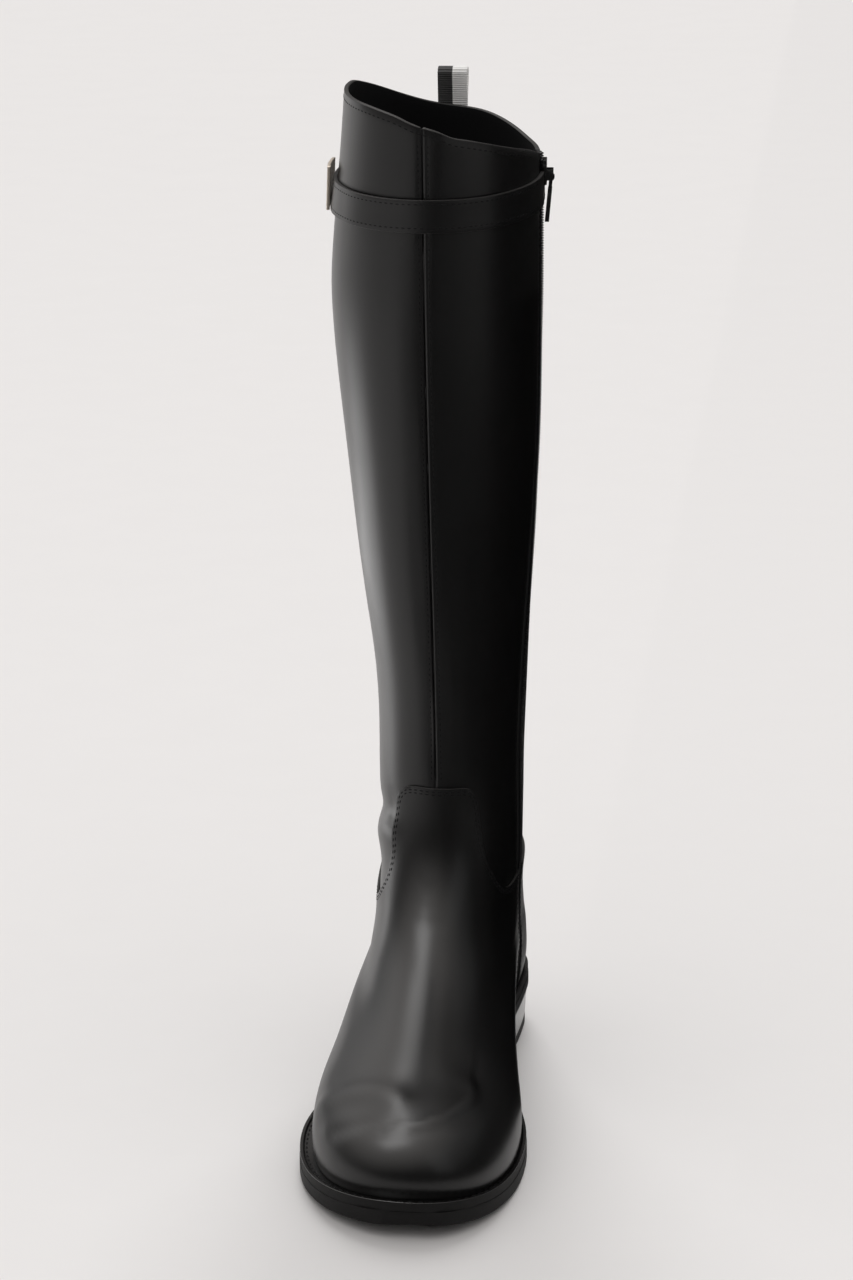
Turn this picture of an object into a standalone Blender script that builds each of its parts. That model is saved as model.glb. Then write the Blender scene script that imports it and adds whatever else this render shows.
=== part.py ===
"""Tall riding boot for the right foot, built as separate solids.

Lengths are in millimetres and become metres when a mesh is made. The toe
points along -Y, the zip side (medial) faces +X, the floor is z = 0 and the
origin lies on the floor under the middle of the heel.
"""

import math
from collections import namedtuple

import bmesh
import bpy
import numpy as np

MM = 0.001
LATERAL = -1
MEDIAL = 1

# Gap left between neighbouring pieces.
FIT = 0.3

# Heights of the sole layers at the heel and at the ball of the foot.
LIFT_HEIGHT = 4.7
HEEL_TOP = 19.3
SEAT_BOTTOM = HEEL_TOP + FIT
SEAT_FEATHER = 29.6
BALL_FEATHER = 10.6
WELT_HEIGHT = 3.4
INSOLE_HEIGHT = 4.6

# The shank falls from the heel seat to the ball between these two stations.
SHANK_BACK = -44.0
SHANK_FRONT = -130.0
SPRING_START = -174.0
SPRING_LENGTH = 61.0
TOE_SPRING = 6.6
FEATHER_FADE = 85.0

# The toe swings to the medial side ahead of this station.
SWING_START = -50.0
SWING_LENGTH = 181.0
TOE_SWING = 5.4

# Walls of the leather parts.
UPPER_WALL = 2.0
VAMP_WALL = 1.2
SEAM_STEP = 0.6
SEAM_STEP_WIDTH = 0.5
SEAM_STEP_FADE = 14.0

# Heel block.
HEEL_BREAST = -43.0
HEEL_INSET = 0.9
HEEL_TAPER = 0.9
BREAST_HOLLOW = 4.0
HEEL_RIBS = 40

# Tread pockets under the forefoot.
TREAD_COUNT = 9
TREAD_FIRST = -112.0
TREAD_PITCH = -10.5
TREAD_WIDTH = 4.0
TREAD_DEPTH = 1.6
TREAD_MARGIN = 9.0

# Welt section.
WELT_INSET = 0.2
LIP_WIDTH = 1.5
LIP_HEIGHT = 0.8
GROOVE_WIDTH = 0.5

# Strap, its metal plate and the pull loop.
STRAP_BOTTOM = 404.0
STRAP_WIDTH = 14.0
STRAP_WALL = 1.8
PLATE_Y = -30.0
PLATE_LENGTH = 22.0
PLATE_DROP = 0.4
PLATE_RISE = 5.0
PLATE_WALL = 1.6
LOOP_WIDTH = 13.0
LOOP_WALL = 0.9
LOOP_TOP = 454.5
LOOP_SHIFT = -2.0
LOOP_LEG_END = 420.0
LOOP_GAP = 6.0

# Zip.
SLOT_HALF = 4.4
TAPE_DEPTH = 1.5
TAPE_WALL = 1.0
COIL_HALF = 2.7
COIL_RISE = 0.7
SLIDER_Z = 415.0
SLIDER_LENGTH = 11.0
SLIDER_WIDTH = 8.4
SLIDER_WALL = 2.0
PIN_RADIUS = 0.6
EYE_INNER = 0.9
EYE_OUTER = 1.6
EYE_WIDTH = 3.4
CHEEK_WALL = 1.0
PULL_LENGTH = 20.0
PULL_WIDTH = 4.6
PULL_WALL = 1.9
PULL_LEAN = 1.9

# Ribs on each side of the boot: behind the zip, along the shank and round the toe.
REAR_RIBS = 6
SHANK_RIBS = 7
TOE_RIBS = 9
FRONT_RIBS = SHANK_RIBS + TOE_RIBS
SHANK_SPAN = 0.47

Profile = namedtuple("Profile", "level back front")
SIDE_PROFILE = (
    Profile(BALL_FEATHER, 24.0, -226.0),
    Profile(17.0, 25.5, -227.6),
    Profile(25.0, 26.0, -225.2),
    Profile(34.0, 26.2, -218.5),
    Profile(40.0, 26.1, -209.0),
    Profile(46.0, 25.8, -196.0),
    Profile(52.0, 25.4, -179.0),
    Profile(58.0, 24.9, -161.0),
    Profile(66.0, 24.2, -140.0),
    Profile(76.0, 23.0, -120.0),
    Profile(88.0, 21.4, -104.0),
    Profile(102.0, 19.8, -92.0),
    Profile(120.0, 18.4, -83.0),
    Profile(142.0, 18.0, -78.0),
    Profile(170.0, 20.5, -76.5),
    Profile(215.0, 27.5, -78.5),
    Profile(263.0, 34.5, -82.0),
    Profile(311.0, 38.5, -85.0),
    Profile(357.0, 40.0, -87.0),
    Profile(400.0, 39.0, -87.2),
    Profile(470.0, 36.0, -86.0),
)

Widths = namedtuple("Widths", "level heel_lateral heel_medial ball_lateral ball_medial")
WIDTHS = (
    Widths(BALL_FEATHER, 29.5, 29.5, 45.0, 42.0),
    Widths(17.0, 30.8, 30.8, 46.3, 43.2),
    Widths(28.0, 31.3, 31.2, 45.5, 41.6),
    Widths(44.0, 31.4, 31.0, 38.8, 35.8),
    Widths(60.0, 31.2, 30.4, 32.2, 31.2),
    Widths(78.0, 31.6, 30.6, 31.8, 31.0),
    Widths(100.0, 32.2, 32.6, 32.2, 32.6),
    Widths(122.0, 32.4, 33.4, 32.4, 33.4),
    Widths(145.0, 32.6, 33.6, 32.6, 33.6),
    Widths(172.0, 32.9, 34.5, 32.9, 34.5),
    Widths(192.0, 34.0, 35.2, 34.0, 35.2),
    Widths(220.0, 37.8, 36.4, 37.8, 36.4),
    Widths(268.0, 43.4, 38.6, 43.4, 38.6),
    Widths(316.0, 48.0, 40.2, 48.0, 40.2),
    Widths(362.0, 51.8, 40.6, 51.8, 40.6),
    Widths(392.0, 50.6, 40.7, 50.6, 40.7),
    Widths(420.0, 47.6, 40.7, 47.6, 40.7),
    Widths(470.0, 43.4, 40.6, 43.4, 40.6),
)

Plan = namedtuple("Plan", "level rear_cap nose_start nose_power arch_lateral arch_medial")
PLANS = (
    Plan(BALL_FEATHER, 0.130, 0.73, 2.20, 4.0, 8.5),
    Plan(19.5, 0.130, 0.72, 2.20, 3.5, 8.0),
    Plan(34.0, 0.140, 0.68, 2.10, 2.0, 4.5),
    Plan(46.0, 0.160, 0.59, 2.05, 0.5, 1.0),
    Plan(58.0, 0.200, 0.48, 2.00, 0.0, 0.0),
    Plan(76.0, 0.300, 0.42, 2.00, 0.0, 0.0),
    Plan(96.0, 0.420, 0.46, 2.00, 0.0, 0.0),
    Plan(122.0, 0.50, 0.50, 2.05, 0.0, 0.0),
    Plan(470.0, 0.50, 0.50, 2.10, 0.0, 0.0),
)

ZipStation = namedtuple("ZipStation", "level y")
ZIP_LINE = (
    ZipStation(BALL_FEATHER, -31.0),
    ZipStation(40.0, -32.0),
    ZipStation(70.0, -36.0),
    ZipStation(100.0, -39.5),
    ZipStation(135.0, -40.5),
    ZipStation(166.0, -40.0),
    ZipStation(200.0, -37.0),
    ZipStation(250.0, -29.5),
    ZipStation(310.0, -22.0),
    ZipStation(390.0, -17.0),
    ZipStation(470.0, -14.5),
)

Collar = namedtuple("Collar", "share lateral medial")
COLLAR = (
    Collar(0.0, 437.4, 437.4),
    Collar(0.02, 440.0, 435.3),
    Collar(0.06, 443.0, 432.8),
    Collar(0.15, 448.3, 428.6),
    Collar(0.25, 452.4, 426.4),
    Collar(0.42, 456.8, 426.4),
    Collar(0.55, 457.4, 428.8),
    Collar(0.65, 457.2, 432.0),
    Collar(0.8, 456.7, 436.3),
    Collar(0.9, 456.0, 440.0),
    Collar(0.96, 454.4, 442.8),
    Collar(0.985, 452.6, 444.4),
    Collar(0.994, 451.0, 446.3),
    Collar(1.0, 448.8, 448.8),
)
COLLAR_BASE = 385.0

SeamStation = namedtuple("SeamStation", "level x")
SEAM_LINE = (
    SeamStation(148.0, -1.0),
    SeamStation(213.0, -1.5),
    SeamStation(283.0, -2.1),
    SeamStation(374.0, -2.9),
    SeamStation(470.0, -3.0),
)

EdgePoint = namedtuple("EdgePoint", "lateral_y lateral_z medial_y medial_z")
VAMP_EDGE = (
    EdgePoint(-150.0, 146.5, -150.0, 146.5),
    EdgePoint(-76.2, 146.5, -76.4, 146.5),
    EdgePoint(-73.8, 145.4, -74.6, 144.8),
    EdgePoint(-71.6, 142.2, -73.6, 140.5),
    EdgePoint(-70.7, 137.5, -73.7, 134.0),
    EdgePoint(-70.8, 132.0, -74.5, 127.0),
    EdgePoint(-71.6, 126.0, -75.3, 120.0),
    EdgePoint(-73.0, 119.5, -75.6, 113.0),
    EdgePoint(-74.3, 113.0, -74.4, 107.0),
    EdgePoint(-74.6, 107.0, -72.2, 101.5),
    EdgePoint(-73.8, 101.5, -69.6, 97.6),
    EdgePoint(-71.4, 96.3, -65.0, 94.6),
    EdgePoint(-68.0, 91.8, -61.5, 93.6),
    EdgePoint(-63.5, 88.6, -58.0, 93.4),
    EdgePoint(-56.0, 86.4, -53.0, 93.5),
    EdgePoint(-46.0, 87.4, -49.0, 93.8),
    EdgePoint(-26.0, 92.0, -26.0, 96.5),
    EdgePoint(0.0, 96.0, 0.0, 98.0),
    EdgePoint(50.0, 98.5, 50.0, 98.5),
)

Section = namedtuple(
    "Section",
    "back front heel_lateral heel_medial ball_lateral ball_medial "
    "rear_cap nose_start nose_power arch_lateral arch_medial",
)
SOLE_OUTLINE = Section(30.0, -235.0, 33.2, 33.2, 53.8, 46.7, 0.13, 0.70, 2.12, 5.5, 8.5)

UPPER_LEVELS = (
    BALL_FEATHER, 14.6, 20.4, 27.2, 34.0, 39.0, 44.0, 49.0, 54.0, 60.0, 67.0, 75.0, 84.0,
    94.0, 105.0, 117.0, 130.0, 143.0, 156.0, 175.0, 200.0, 230.0, 265.0, 300.0,
    335.0, 365.0, 385.0,
)
COLLAR_STEPS = (0.35, 0.7, 1.0)
VAMP_FOOT = BALL_FEATHER + 0.8
VAMP_LEVELS = (VAMP_FOOT, *(level for level in UPPER_LEVELS[1:] if level < 160.0))

# Colour and roughness of each material.
BLACK_LEATHER = ("black_leather", (0.012, 0.012, 0.013), 0.32, 0.0)
BLACK_RUBBER = ("black_rubber", (0.016, 0.016, 0.016), 0.62, 0.0)
HEEL_LACQUER = ("heel_lacquer", (0.010, 0.010, 0.010), 0.22, 0.0)
INSOLE_LEATHER = ("insole_leather", (0.055, 0.050, 0.046), 0.70, 0.0)
ZIP_FABRIC = ("zip_fabric", (0.014, 0.014, 0.015), 0.75, 0.0)
BLACK_METAL = ("black_metal", (0.03, 0.03, 0.03), 0.25, 1.0)
BRIGHT_METAL = ("bright_metal", (0.72, 0.69, 0.64), 0.22, 1.0)
RIBBON = ("ribbon", (0.10, 0.10, 0.10), 0.80, 0.0)


def smooth_step(t):
    """Ease from 0 to 1 with level ends."""
    t = np.clip(t, 0.0, 1.0)
    return t * t * (3.0 - 2.0 * t)


def table_value(rows, key, name, at):
    """Read one column of a table at any station, by a cubic with no overshoot."""
    xs = np.array([getattr(row, key) for row in rows], dtype=float)
    ys = np.array([getattr(row, name) for row in rows], dtype=float)
    if xs[0] > xs[-1]:
        xs = xs[::-1]
        ys = ys[::-1]
    gaps = np.diff(xs)
    rises = np.diff(ys) / gaps
    slopes = np.zeros_like(ys)
    for i in range(1, len(xs) - 1):
        if rises[i - 1] * rises[i] > 0.0:
            before = 2.0 * gaps[i] + gaps[i - 1]
            after = gaps[i] + 2.0 * gaps[i - 1]
            slopes[i] = (before + after) / (before / rises[i - 1] + after / rises[i])
    slopes[0] = rises[0]
    slopes[-1] = rises[-1]
    at = np.clip(np.asarray(at, dtype=float), xs[0], xs[-1])
    i = np.clip(np.searchsorted(xs, at) - 1, 0, len(xs) - 2)
    t = (at - xs[i]) / gaps[i]
    rise = ys[i + 1] - ys[i]
    a = gaps[i] * slopes[i] - rise
    b = rise - gaps[i] * slopes[i + 1]
    return ys[i] + rise * t + t * (1.0 - t) * (a * (1.0 - t) + b * t)


def section_at(level):
    """Collect the horizontal section of the upper at one level."""
    return Section(
        float(table_value(SIDE_PROFILE, "level", "back", level)),
        float(table_value(SIDE_PROFILE, "level", "front", level)),
        *(float(table_value(WIDTHS, "level", name, level)) for name in Widths._fields[1:]),
        *(float(table_value(PLANS, "level", name, level)) for name in Plan._fields[1:]),
    )


def toe_swing(y):
    """Sideways shift of the centre line towards the medial side."""
    return TOE_SWING * np.clip((SWING_START - y) / SWING_LENGTH, 0.0, 1.1) ** 3


def cap(t, power):
    """Round end of a plan: 1 at t = 0 and 0 at t = 1."""
    return (1.0 - np.clip(t, 0.0, 1.0) ** power) ** (1.0 / power)


def plan_points(section, side, share):
    """Points of a plan outline at shares of its length, from back to front."""
    share = np.asarray(share, dtype=float)
    if side == MEDIAL:
        heel, ball, arch = section.heel_medial, section.ball_medial, section.arch_medial
    else:
        heel, ball, arch = section.heel_lateral, section.ball_lateral, section.arch_lateral
    axis = (section.heel_medial - section.heel_lateral) / 2.0
    span = max(section.nose_start - section.rear_cap, 0.02)
    t = np.clip((share - section.rear_cap) / span, 0.0, 1.0)
    reach = heel + (ball - heel) * smooth_step(t) - arch * np.sin(math.pi * t) ** 2
    rear = cap(1.0 - share / section.rear_cap, 2.15)
    nose = cap((share - section.nose_start) / (1.0 - section.nose_start), section.nose_power)
    y = section.back + (section.front - section.back) * share
    x = axis + side * (reach - side * axis) * rear * nose + toe_swing(y)
    return x, y


def shank_share(y):
    """1 at the heel seat, 0 at the ball, along the fall of the shank."""
    return smooth_step((np.asarray(y) - SHANK_FRONT) / (SHANK_BACK - SHANK_FRONT))


def spring_rise(y):
    """Rise of the sole towards the toe."""
    return TOE_SPRING * np.clip((SPRING_START - np.asarray(y)) / SPRING_LENGTH, 0.0, 1.0) ** 2


def feather_rise(y):
    """Height of the feather line above its height at the ball."""
    return (SEAT_FEATHER - BALL_FEATHER) * shank_share(y) + spring_rise(y)


def outsole_top(y):
    """Upper face of the outsole."""
    return BALL_FEATHER + feather_rise(y) - WELT_HEIGHT - 2.0 * FIT


def outsole_bottom(y):
    """Lower face of the outsole."""
    return SEAT_BOTTOM * shank_share(y) + spring_rise(y)


def last_point(side, share, level):
    """Point on the outside of the upper."""
    x, y = plan_points(section_at(level), side, share)
    fade = 1.0 - smooth_step((level - BALL_FEATHER) / (FEATHER_FADE - BALL_FEATHER))
    z = level + feather_rise(y) * fade
    return np.stack((x, y, z), axis=-1)


def zip_share(level):
    """Share of the section length at which the zip runs."""
    section = section_at(level)
    zip_y = float(table_value(ZIP_LINE, "level", "y", level))
    return (zip_y - section.back) / (section.front - section.back)


def rib_shares(level):
    """Shares of the ribs on one side, between the back and the front seam."""
    section = section_at(level)
    half = SLOT_HALF / (section.back - section.front)
    middle = zip_share(level)
    rear = (middle - half) * (1.0 - np.cos(math.pi / 2.0 * np.arange(1, REAR_RIBS + 1) / REAR_RIBS))
    shank = SHANK_SPAN * np.arange(SHANK_RIBS) / SHANK_RIBS
    toe = SHANK_SPAN + (1.0 - SHANK_SPAN) * np.sin(math.pi / 2.0 * np.arange(TOE_RIBS) / TOE_RIBS)
    front = middle + half + (1.0 - middle - half) * np.concatenate((shank, toe))
    return np.concatenate((rear, front))


def around(level_of):
    """One ring of points: back seam, medial ribs, front seam, lateral ribs.

    level_of gives the level for a side and a share of the length.
    """
    shares = rib_shares(level_of(MEDIAL, 0.5))
    ring = [last_point(MEDIAL, 0.0, level_of(MEDIAL, 0.0))]
    for side, row in ((MEDIAL, shares), (LATERAL, shares[::-1])):
        for share in row:
            ring.append(last_point(side, share, level_of(side, share)))
        if side == MEDIAL:
            ring.append(last_point(MEDIAL, 1.0, level_of(MEDIAL, 1.0)))
    return np.array(ring)


def collar_level(side, share, step):
    """Level between the collar base and the slanted collar edge."""
    name = "medial" if side == MEDIAL else "lateral"
    edge = float(table_value(COLLAR, "share", name, share))
    return COLLAR_BASE + (edge - COLLAR_BASE) * step


def skin_grid(levels, steps=()):
    """Rings of the upper's outer face, one for each level."""
    rings = [around(lambda side, share, level=level: level) for level in levels]
    for step in steps:
        rings.append(around(lambda side, share, step=step: collar_level(side, share, step)))
    return np.array(rings)


def grid_normals(grid):
    """Outward unit normals of a grid of closed rings."""
    round_way = np.roll(grid, -1, axis=1) - np.roll(grid, 1, axis=1)
    up_way = np.gradient(grid, axis=0)
    normals = np.cross(up_way, round_way)
    return normals / np.linalg.norm(normals, axis=-1, keepdims=True)


def material(spec):
    """Make or fetch a Principled material."""
    name, colour, roughness, metallic = spec
    found = bpy.data.materials.get(name)
    if found:
        return found
    made = bpy.data.materials.new(name)
    made.use_nodes = True
    shader = made.node_tree.nodes["Principled BSDF"]
    shader.inputs["Base Color"].default_value = (*colour, 1.0)
    shader.inputs["Roughness"].default_value = roughness
    shader.inputs["Metallic"].default_value = metallic
    return made


def add_object(name, points, faces, spec, smooth_angle=None):
    """Make an object from points in millimetres."""
    mesh = bpy.data.meshes.new(name)
    mesh.from_pydata([tuple(float(v) * MM for v in p) for p in points], [], faces)
    work = bmesh.new()
    work.from_mesh(mesh)
    bmesh.ops.recalc_face_normals(work, faces=work.faces)
    work.to_mesh(mesh)
    work.free()
    made = bpy.data.objects.new(name, mesh)
    bpy.context.collection.objects.link(made)
    if spec:
        mesh.materials.append(material(spec))
    if smooth_angle:
        mesh.shade_smooth()
        mesh.set_sharp_from_angle(angle=math.radians(smooth_angle))
    return made


def ring_faces(rings, count, closed, skip=()):
    """Quads between neighbouring rings of points."""
    faces = []
    for k in range(rings - 1):
        for i in range(count if closed else count - 1):
            if i in skip:
                continue
            j = (i + 1) % count
            faces.append((k * count + i, k * count + j, (k + 1) * count + j, (k + 1) * count + i))
    return faces


def loft(name, rings, spec, capped=True, looped=False, smooth_angle=None):
    """Solid through closed rings of points with capped or joined ends."""
    rings = np.asarray(rings, dtype=float)
    total, count = rings.shape[:2]
    faces = ring_faces(total, count, True)
    if looped:
        last = (total - 1) * count
        faces += [(last + i, last + (i + 1) % count, (i + 1) % count, i) for i in range(count)]
    elif capped:
        faces.append(tuple(reversed(range(count))))
        faces.append(tuple(range((total - 1) * count, total * count)))
    return add_object(name, rings.reshape(-1, 3), faces, spec, smooth_angle)


def wall(made, thickness, outward):
    """Give a skin its thickness."""
    solidify = made.modifiers.new("wall", "SOLIDIFY")
    solidify.thickness = thickness * MM
    solidify.offset = 1.0 if outward else -1.0
    solidify.use_even_offset = False
    solidify.use_quality_normals = True
    return made


def cut(made, cutter):
    """Take a cutter away from an object."""
    cutter.hide_render = True
    cutter.display_type = "WIRE"
    boolean = made.modifiers.new("cut", "BOOLEAN")
    boolean.operation = "DIFFERENCE"
    boolean.solver = "EXACT"
    boolean.object = cutter
    return made


def build_upper():
    """Hollow shaft and foot, open at the collar, along the zip and below."""
    grid = skin_grid(UPPER_LEVELS, COLLAR_STEPS)
    normals = grid_normals(grid)
    front = 1 + REAR_RIBS + FRONT_RIBS
    lap_start = VAMP_EDGE[0].lateral_z + 2.0
    shown = smooth_step((grid[:, :, 2] - lap_start) / SEAM_STEP_FADE)
    seam_x = table_value(SEAM_LINE, "level", "x", grid[:, front, 2])
    grid[:, front, 0] += (seam_x - grid[:, front, 0]) * shown[:, front]
    lap = SEAM_STEP * shown[:, front - 1 : front + 1, None] * normals[:, front - 1 : front + 1]
    edge = grid[:, front] + lap[:, 1]
    edge[:, 0] += SEAM_STEP_WIDTH
    grid[:, front - 1] += 0.6 * lap[:, 0]
    grid = np.insert(grid, front, edge, axis=1)
    rings, count = grid.shape[:2]
    faces = ring_faces(rings, count, True, skip=(REAR_RIBS,))
    upper = add_object("upper", grid.reshape(-1, 3), faces, BLACK_LEATHER, 40.0)
    return wall(upper, UPPER_WALL, False)


def build_vamp():
    """Foot leather over the upper, with a tab up the shin."""
    grid = skin_grid(VAMP_LEVELS)
    grid = grid + FIT * grid_normals(grid)
    rings, count = grid.shape[:2]
    faces = ring_faces(rings, count, True, skip=(REAR_RIBS,))
    vamp = add_object("vamp", grid.reshape(-1, 3), faces, BLACK_LEATHER, 40.0)
    wall(vamp, VAMP_WALL, True)
    lateral = [(row.lateral_y, row.lateral_z) for row in VAMP_EDGE] + [(50.0, 190.0), (-150.0, 190.0)]
    medial = [(row.medial_y, row.medial_z) for row in VAMP_EDGE] + [(50.0, 190.0), (-150.0, 190.0)]
    ends = []
    for x, edge in ((-90.0, lateral), (-8.0, lateral), (8.0, medial), (90.0, medial)):
        ends.append([(x, y, z) for y, z in edge])
    return cut(vamp, loft("vamp_trim", ends, None))


def outline_ring(section, shares, inset=0.0):
    """Closed outline of a plan, evenly inset, starting at the back."""
    mx, my = plan_points(section, MEDIAL, np.concatenate(((0.0,), shares, (1.0,))))
    lx, ly = plan_points(section, LATERAL, shares[::-1])
    ring = np.column_stack((np.concatenate((mx, lx)), np.concatenate((my, ly))))
    along = np.roll(ring, -1, axis=0) - np.roll(ring, 1, axis=0)
    along /= np.linalg.norm(along, axis=1, keepdims=True)
    inward = np.column_stack((along[:, 1], -along[:, 0]))
    return ring + inset * np.sign(inward[:1, 1] * -1.0) * inward


def sole_slab(name, section, inset, low, high, chamfer, spec):
    """Slab whose faces follow two heights along the foot."""
    shares = rib_shares(BALL_FEATHER)
    plan = outline_ring(section, shares, inset)
    medial = plan[1 : len(shares) + 1]
    lateral = plan[: len(shares) + 1 : -1]
    rings = []
    for (mx, my), (lx, ly) in zip(medial, lateral):
        y = (my + ly) / 2.0
        trim = min(chamfer, (mx - lx) / 4.0)
        rings.append((
            (lx + trim, y, low(y)),
            (mx - trim, y, low(y)),
            (mx, y, low(y) + chamfer),
            (mx, y, high(y)),
            (lx, y, high(y)),
            (lx, y, low(y) + chamfer),
        ))
    return loft(name, rings, spec, smooth_angle=40.0)


def build_outsole():
    """Rubber sole with arch, toe spring and tread pockets."""
    sole = sole_slab("outsole", SOLE_OUTLINE, 0.0, outsole_bottom, outsole_top, 1.0, BLACK_RUBBER)
    pockets = bmesh.new()
    for i in range(TREAD_COUNT):
        y = TREAD_FIRST + i * TREAD_PITCH
        share = (y - SOLE_OUTLINE.back) / (SOLE_OUTLINE.front - SOLE_OUTLINE.back)
        right = float(plan_points(SOLE_OUTLINE, MEDIAL, share)[0]) - TREAD_MARGIN
        left = float(plan_points(SOLE_OUTLINE, LATERAL, share)[0]) + TREAD_MARGIN
        top = float(outsole_bottom(y)) + TREAD_DEPTH
        box = bmesh.ops.create_cube(pockets, size=1.0)["verts"]
        bmesh.ops.scale(pockets, vec=((right - left) * MM, TREAD_WIDTH * MM, 10.0 * MM), verts=box)
        centre = ((left + right) / 2.0 * MM, y * MM, (top - 5.0) * MM)
        bmesh.ops.translate(pockets, vec=centre, verts=box)
    mesh = bpy.data.meshes.new("tread_pockets")
    pockets.to_mesh(mesh)
    pockets.free()
    cutter = bpy.data.objects.new("tread_pockets", mesh)
    bpy.context.collection.objects.link(cutter)
    return cut(sole, cutter)


def feather_section():
    """Plan of the upper at the feather line."""
    return section_at(BALL_FEATHER)


def build_welt():
    """Strip round the foot with a raised lip and a stitching groove."""
    shares = rib_shares(BALL_FEATHER)
    outer = outline_ring(SOLE_OUTLINE, shares, WELT_INSET)
    lip = outline_ring(SOLE_OUTLINE, shares, WELT_INSET + LIP_WIDTH)
    groove = outline_ring(SOLE_OUTLINE, shares, WELT_INSET + LIP_WIDTH + GROOVE_WIDTH)
    inner = outline_ring(feather_section(), shares, UPPER_WALL)
    rings = []
    for points in zip(outer, outer, lip, groove, inner, inner):
        ring = []
        for (x, y), rise in zip(points, (0.0, LIP_HEIGHT, LIP_HEIGHT, 0.0, 0.0, 0.0)):
            ring.append((x, y, outsole_top(y) + FIT + WELT_HEIGHT + rise))
        for k in (0, 5):
            x, y = points[k]
            ring[k] = (x, y, outsole_top(y) + FIT)
        rings.append(ring)
    return loft("welt", rings, BLACK_RUBBER, looped=True, smooth_angle=40.0)


def build_insole():
    """Board and footbed that close the upper from below."""
    return sole_slab(
        "insole",
        feather_section(),
        UPPER_WALL + 3.0 * FIT,
        lambda y: outsole_top(y) + FIT,
        lambda y: outsole_top(y) + FIT + INSOLE_HEIGHT,
        0.3,
        INSOLE_LEATHER,
    )


def heel_ring(inset, z):
    """Outline of the heel at one height, with a hollow breast."""
    shares = 0.5 - 0.5 * np.cos(math.pi * np.arange(1, HEEL_RIBS) / HEEL_RIBS)
    ring = outline_ring(SOLE_OUTLINE, shares, inset)
    medial = [p for p in ring[: HEEL_RIBS + 1] if p[1] > HEEL_BREAST + 2.0]
    lateral = [p for p in ring[HEEL_RIBS + 1 :] if p[1] > HEEL_BREAST + 2.0]
    share = (HEEL_BREAST - SOLE_OUTLINE.back) / (SOLE_OUTLINE.front - SOLE_OUTLINE.back)
    right = float(plan_points(SOLE_OUTLINE, MEDIAL, share)[0]) - inset
    left = float(plan_points(SOLE_OUTLINE, LATERAL, share)[0]) + inset
    breast = []
    for t in np.linspace(0.0, 1.0, 7):
        y = HEEL_BREAST + BREAST_HOLLOW * math.sin(math.pi * t)
        breast.append((right + (left - right) * t, y))
    return [(x, y, z) for x, y in [*medial, *breast, *lateral]]


def build_heel():
    """Heel block."""
    rings = [
        heel_ring(HEEL_INSET + HEEL_TAPER, LIFT_HEIGHT + FIT),
        heel_ring(HEEL_INSET + 0.45 * HEEL_TAPER, (LIFT_HEIGHT + HEEL_TOP) / 2.0),
        heel_ring(HEEL_INSET, HEEL_TOP),
    ]
    return loft("heel", rings, HEEL_LACQUER, smooth_angle=40.0)


def build_heel_lift():
    """Rubber lift under the heel block."""
    inset = HEEL_INSET + HEEL_TAPER
    rings = [heel_ring(inset + 0.6, 0.0), heel_ring(inset, 0.6), heel_ring(inset, LIFT_HEIGHT)]
    return loft("heel_lift", rings, BLACK_RUBBER, smooth_angle=40.0)


def strap_offset(y):
    """Distance of the strap's inner face from the upper, more over the front seam."""
    return FIT + 1.1 * SEAM_STEP * smooth_step((-62.0 - y) / 14.0)


def surface_frame(side, share, level):
    """Point, outward normal and level direction on one side of the shaft."""
    step = 0.004
    point = last_point(side, share, level)
    forward = last_point(side, share + step, level) - last_point(side, share - step, level)
    up = last_point(side, share, level + 1.0) - last_point(side, share, level - 1.0)
    normal = np.cross(up, forward) * side
    return point, normal / np.linalg.norm(normal), up / np.linalg.norm(up)


def build_strap():
    """Leather strap round the shaft from one edge of the zip to the other."""
    levels = (STRAP_BOTTOM, STRAP_BOTTOM + STRAP_WIDTH / 2.0, STRAP_BOTTOM + STRAP_WIDTH)
    grid = skin_grid(levels)
    grid = grid + grid_normals(grid) * strap_offset(grid[:, :, 1:2])
    count = grid.shape[1]
    grid = np.roll(grid, -(REAR_RIBS + 1), axis=1)
    strap = add_object("strap", grid.reshape(-1, 3), ring_faces(3, count, False), BLACK_LEATHER, 40.0)
    return wall(strap, STRAP_WALL, True)


def build_strap_plate():
    """Metal plate on the outside of the strap at the lateral side."""
    section = section_at(STRAP_BOTTOM)
    inner = FIT + STRAP_WALL + FIT
    outer = inner + PLATE_WALL
    low = STRAP_BOTTOM - PLATE_DROP
    high = STRAP_BOTTOM + STRAP_WIDTH + PLATE_RISE
    rings = []
    for y in np.linspace(PLATE_Y - PLATE_LENGTH / 2.0, PLATE_Y + PLATE_LENGTH / 2.0, 7):
        share = (y - section.back) / (section.front - section.back)
        base, out, _ = surface_frame(LATERAL, share, STRAP_BOTTOM + STRAP_WIDTH / 2.0)
        out = np.array((out[0], out[1], 0.0))
        lean = surface_frame(LATERAL, share, low)[0] - base
        reach = inner + max(0.0, float(np.dot(lean, out)))
        ring = []
        for away, z in ((reach, low), (reach + PLATE_WALL, low), (outer, high), (inner, high)):
            ring.append((base[0] + away * out[0], base[1] + away * out[1], z))
        rings.append(ring)
    return loft("strap_plate", rings, BRIGHT_METAL, smooth_angle=40.0)


def zip_level(t):
    """Level along the zip, from the feather line to the collar."""
    top = float(table_value(COLLAR, "share", "medial", zip_share(425.0)))
    return VAMP_FOOT + (top - 0.6 - VAMP_FOOT) * t


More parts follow.
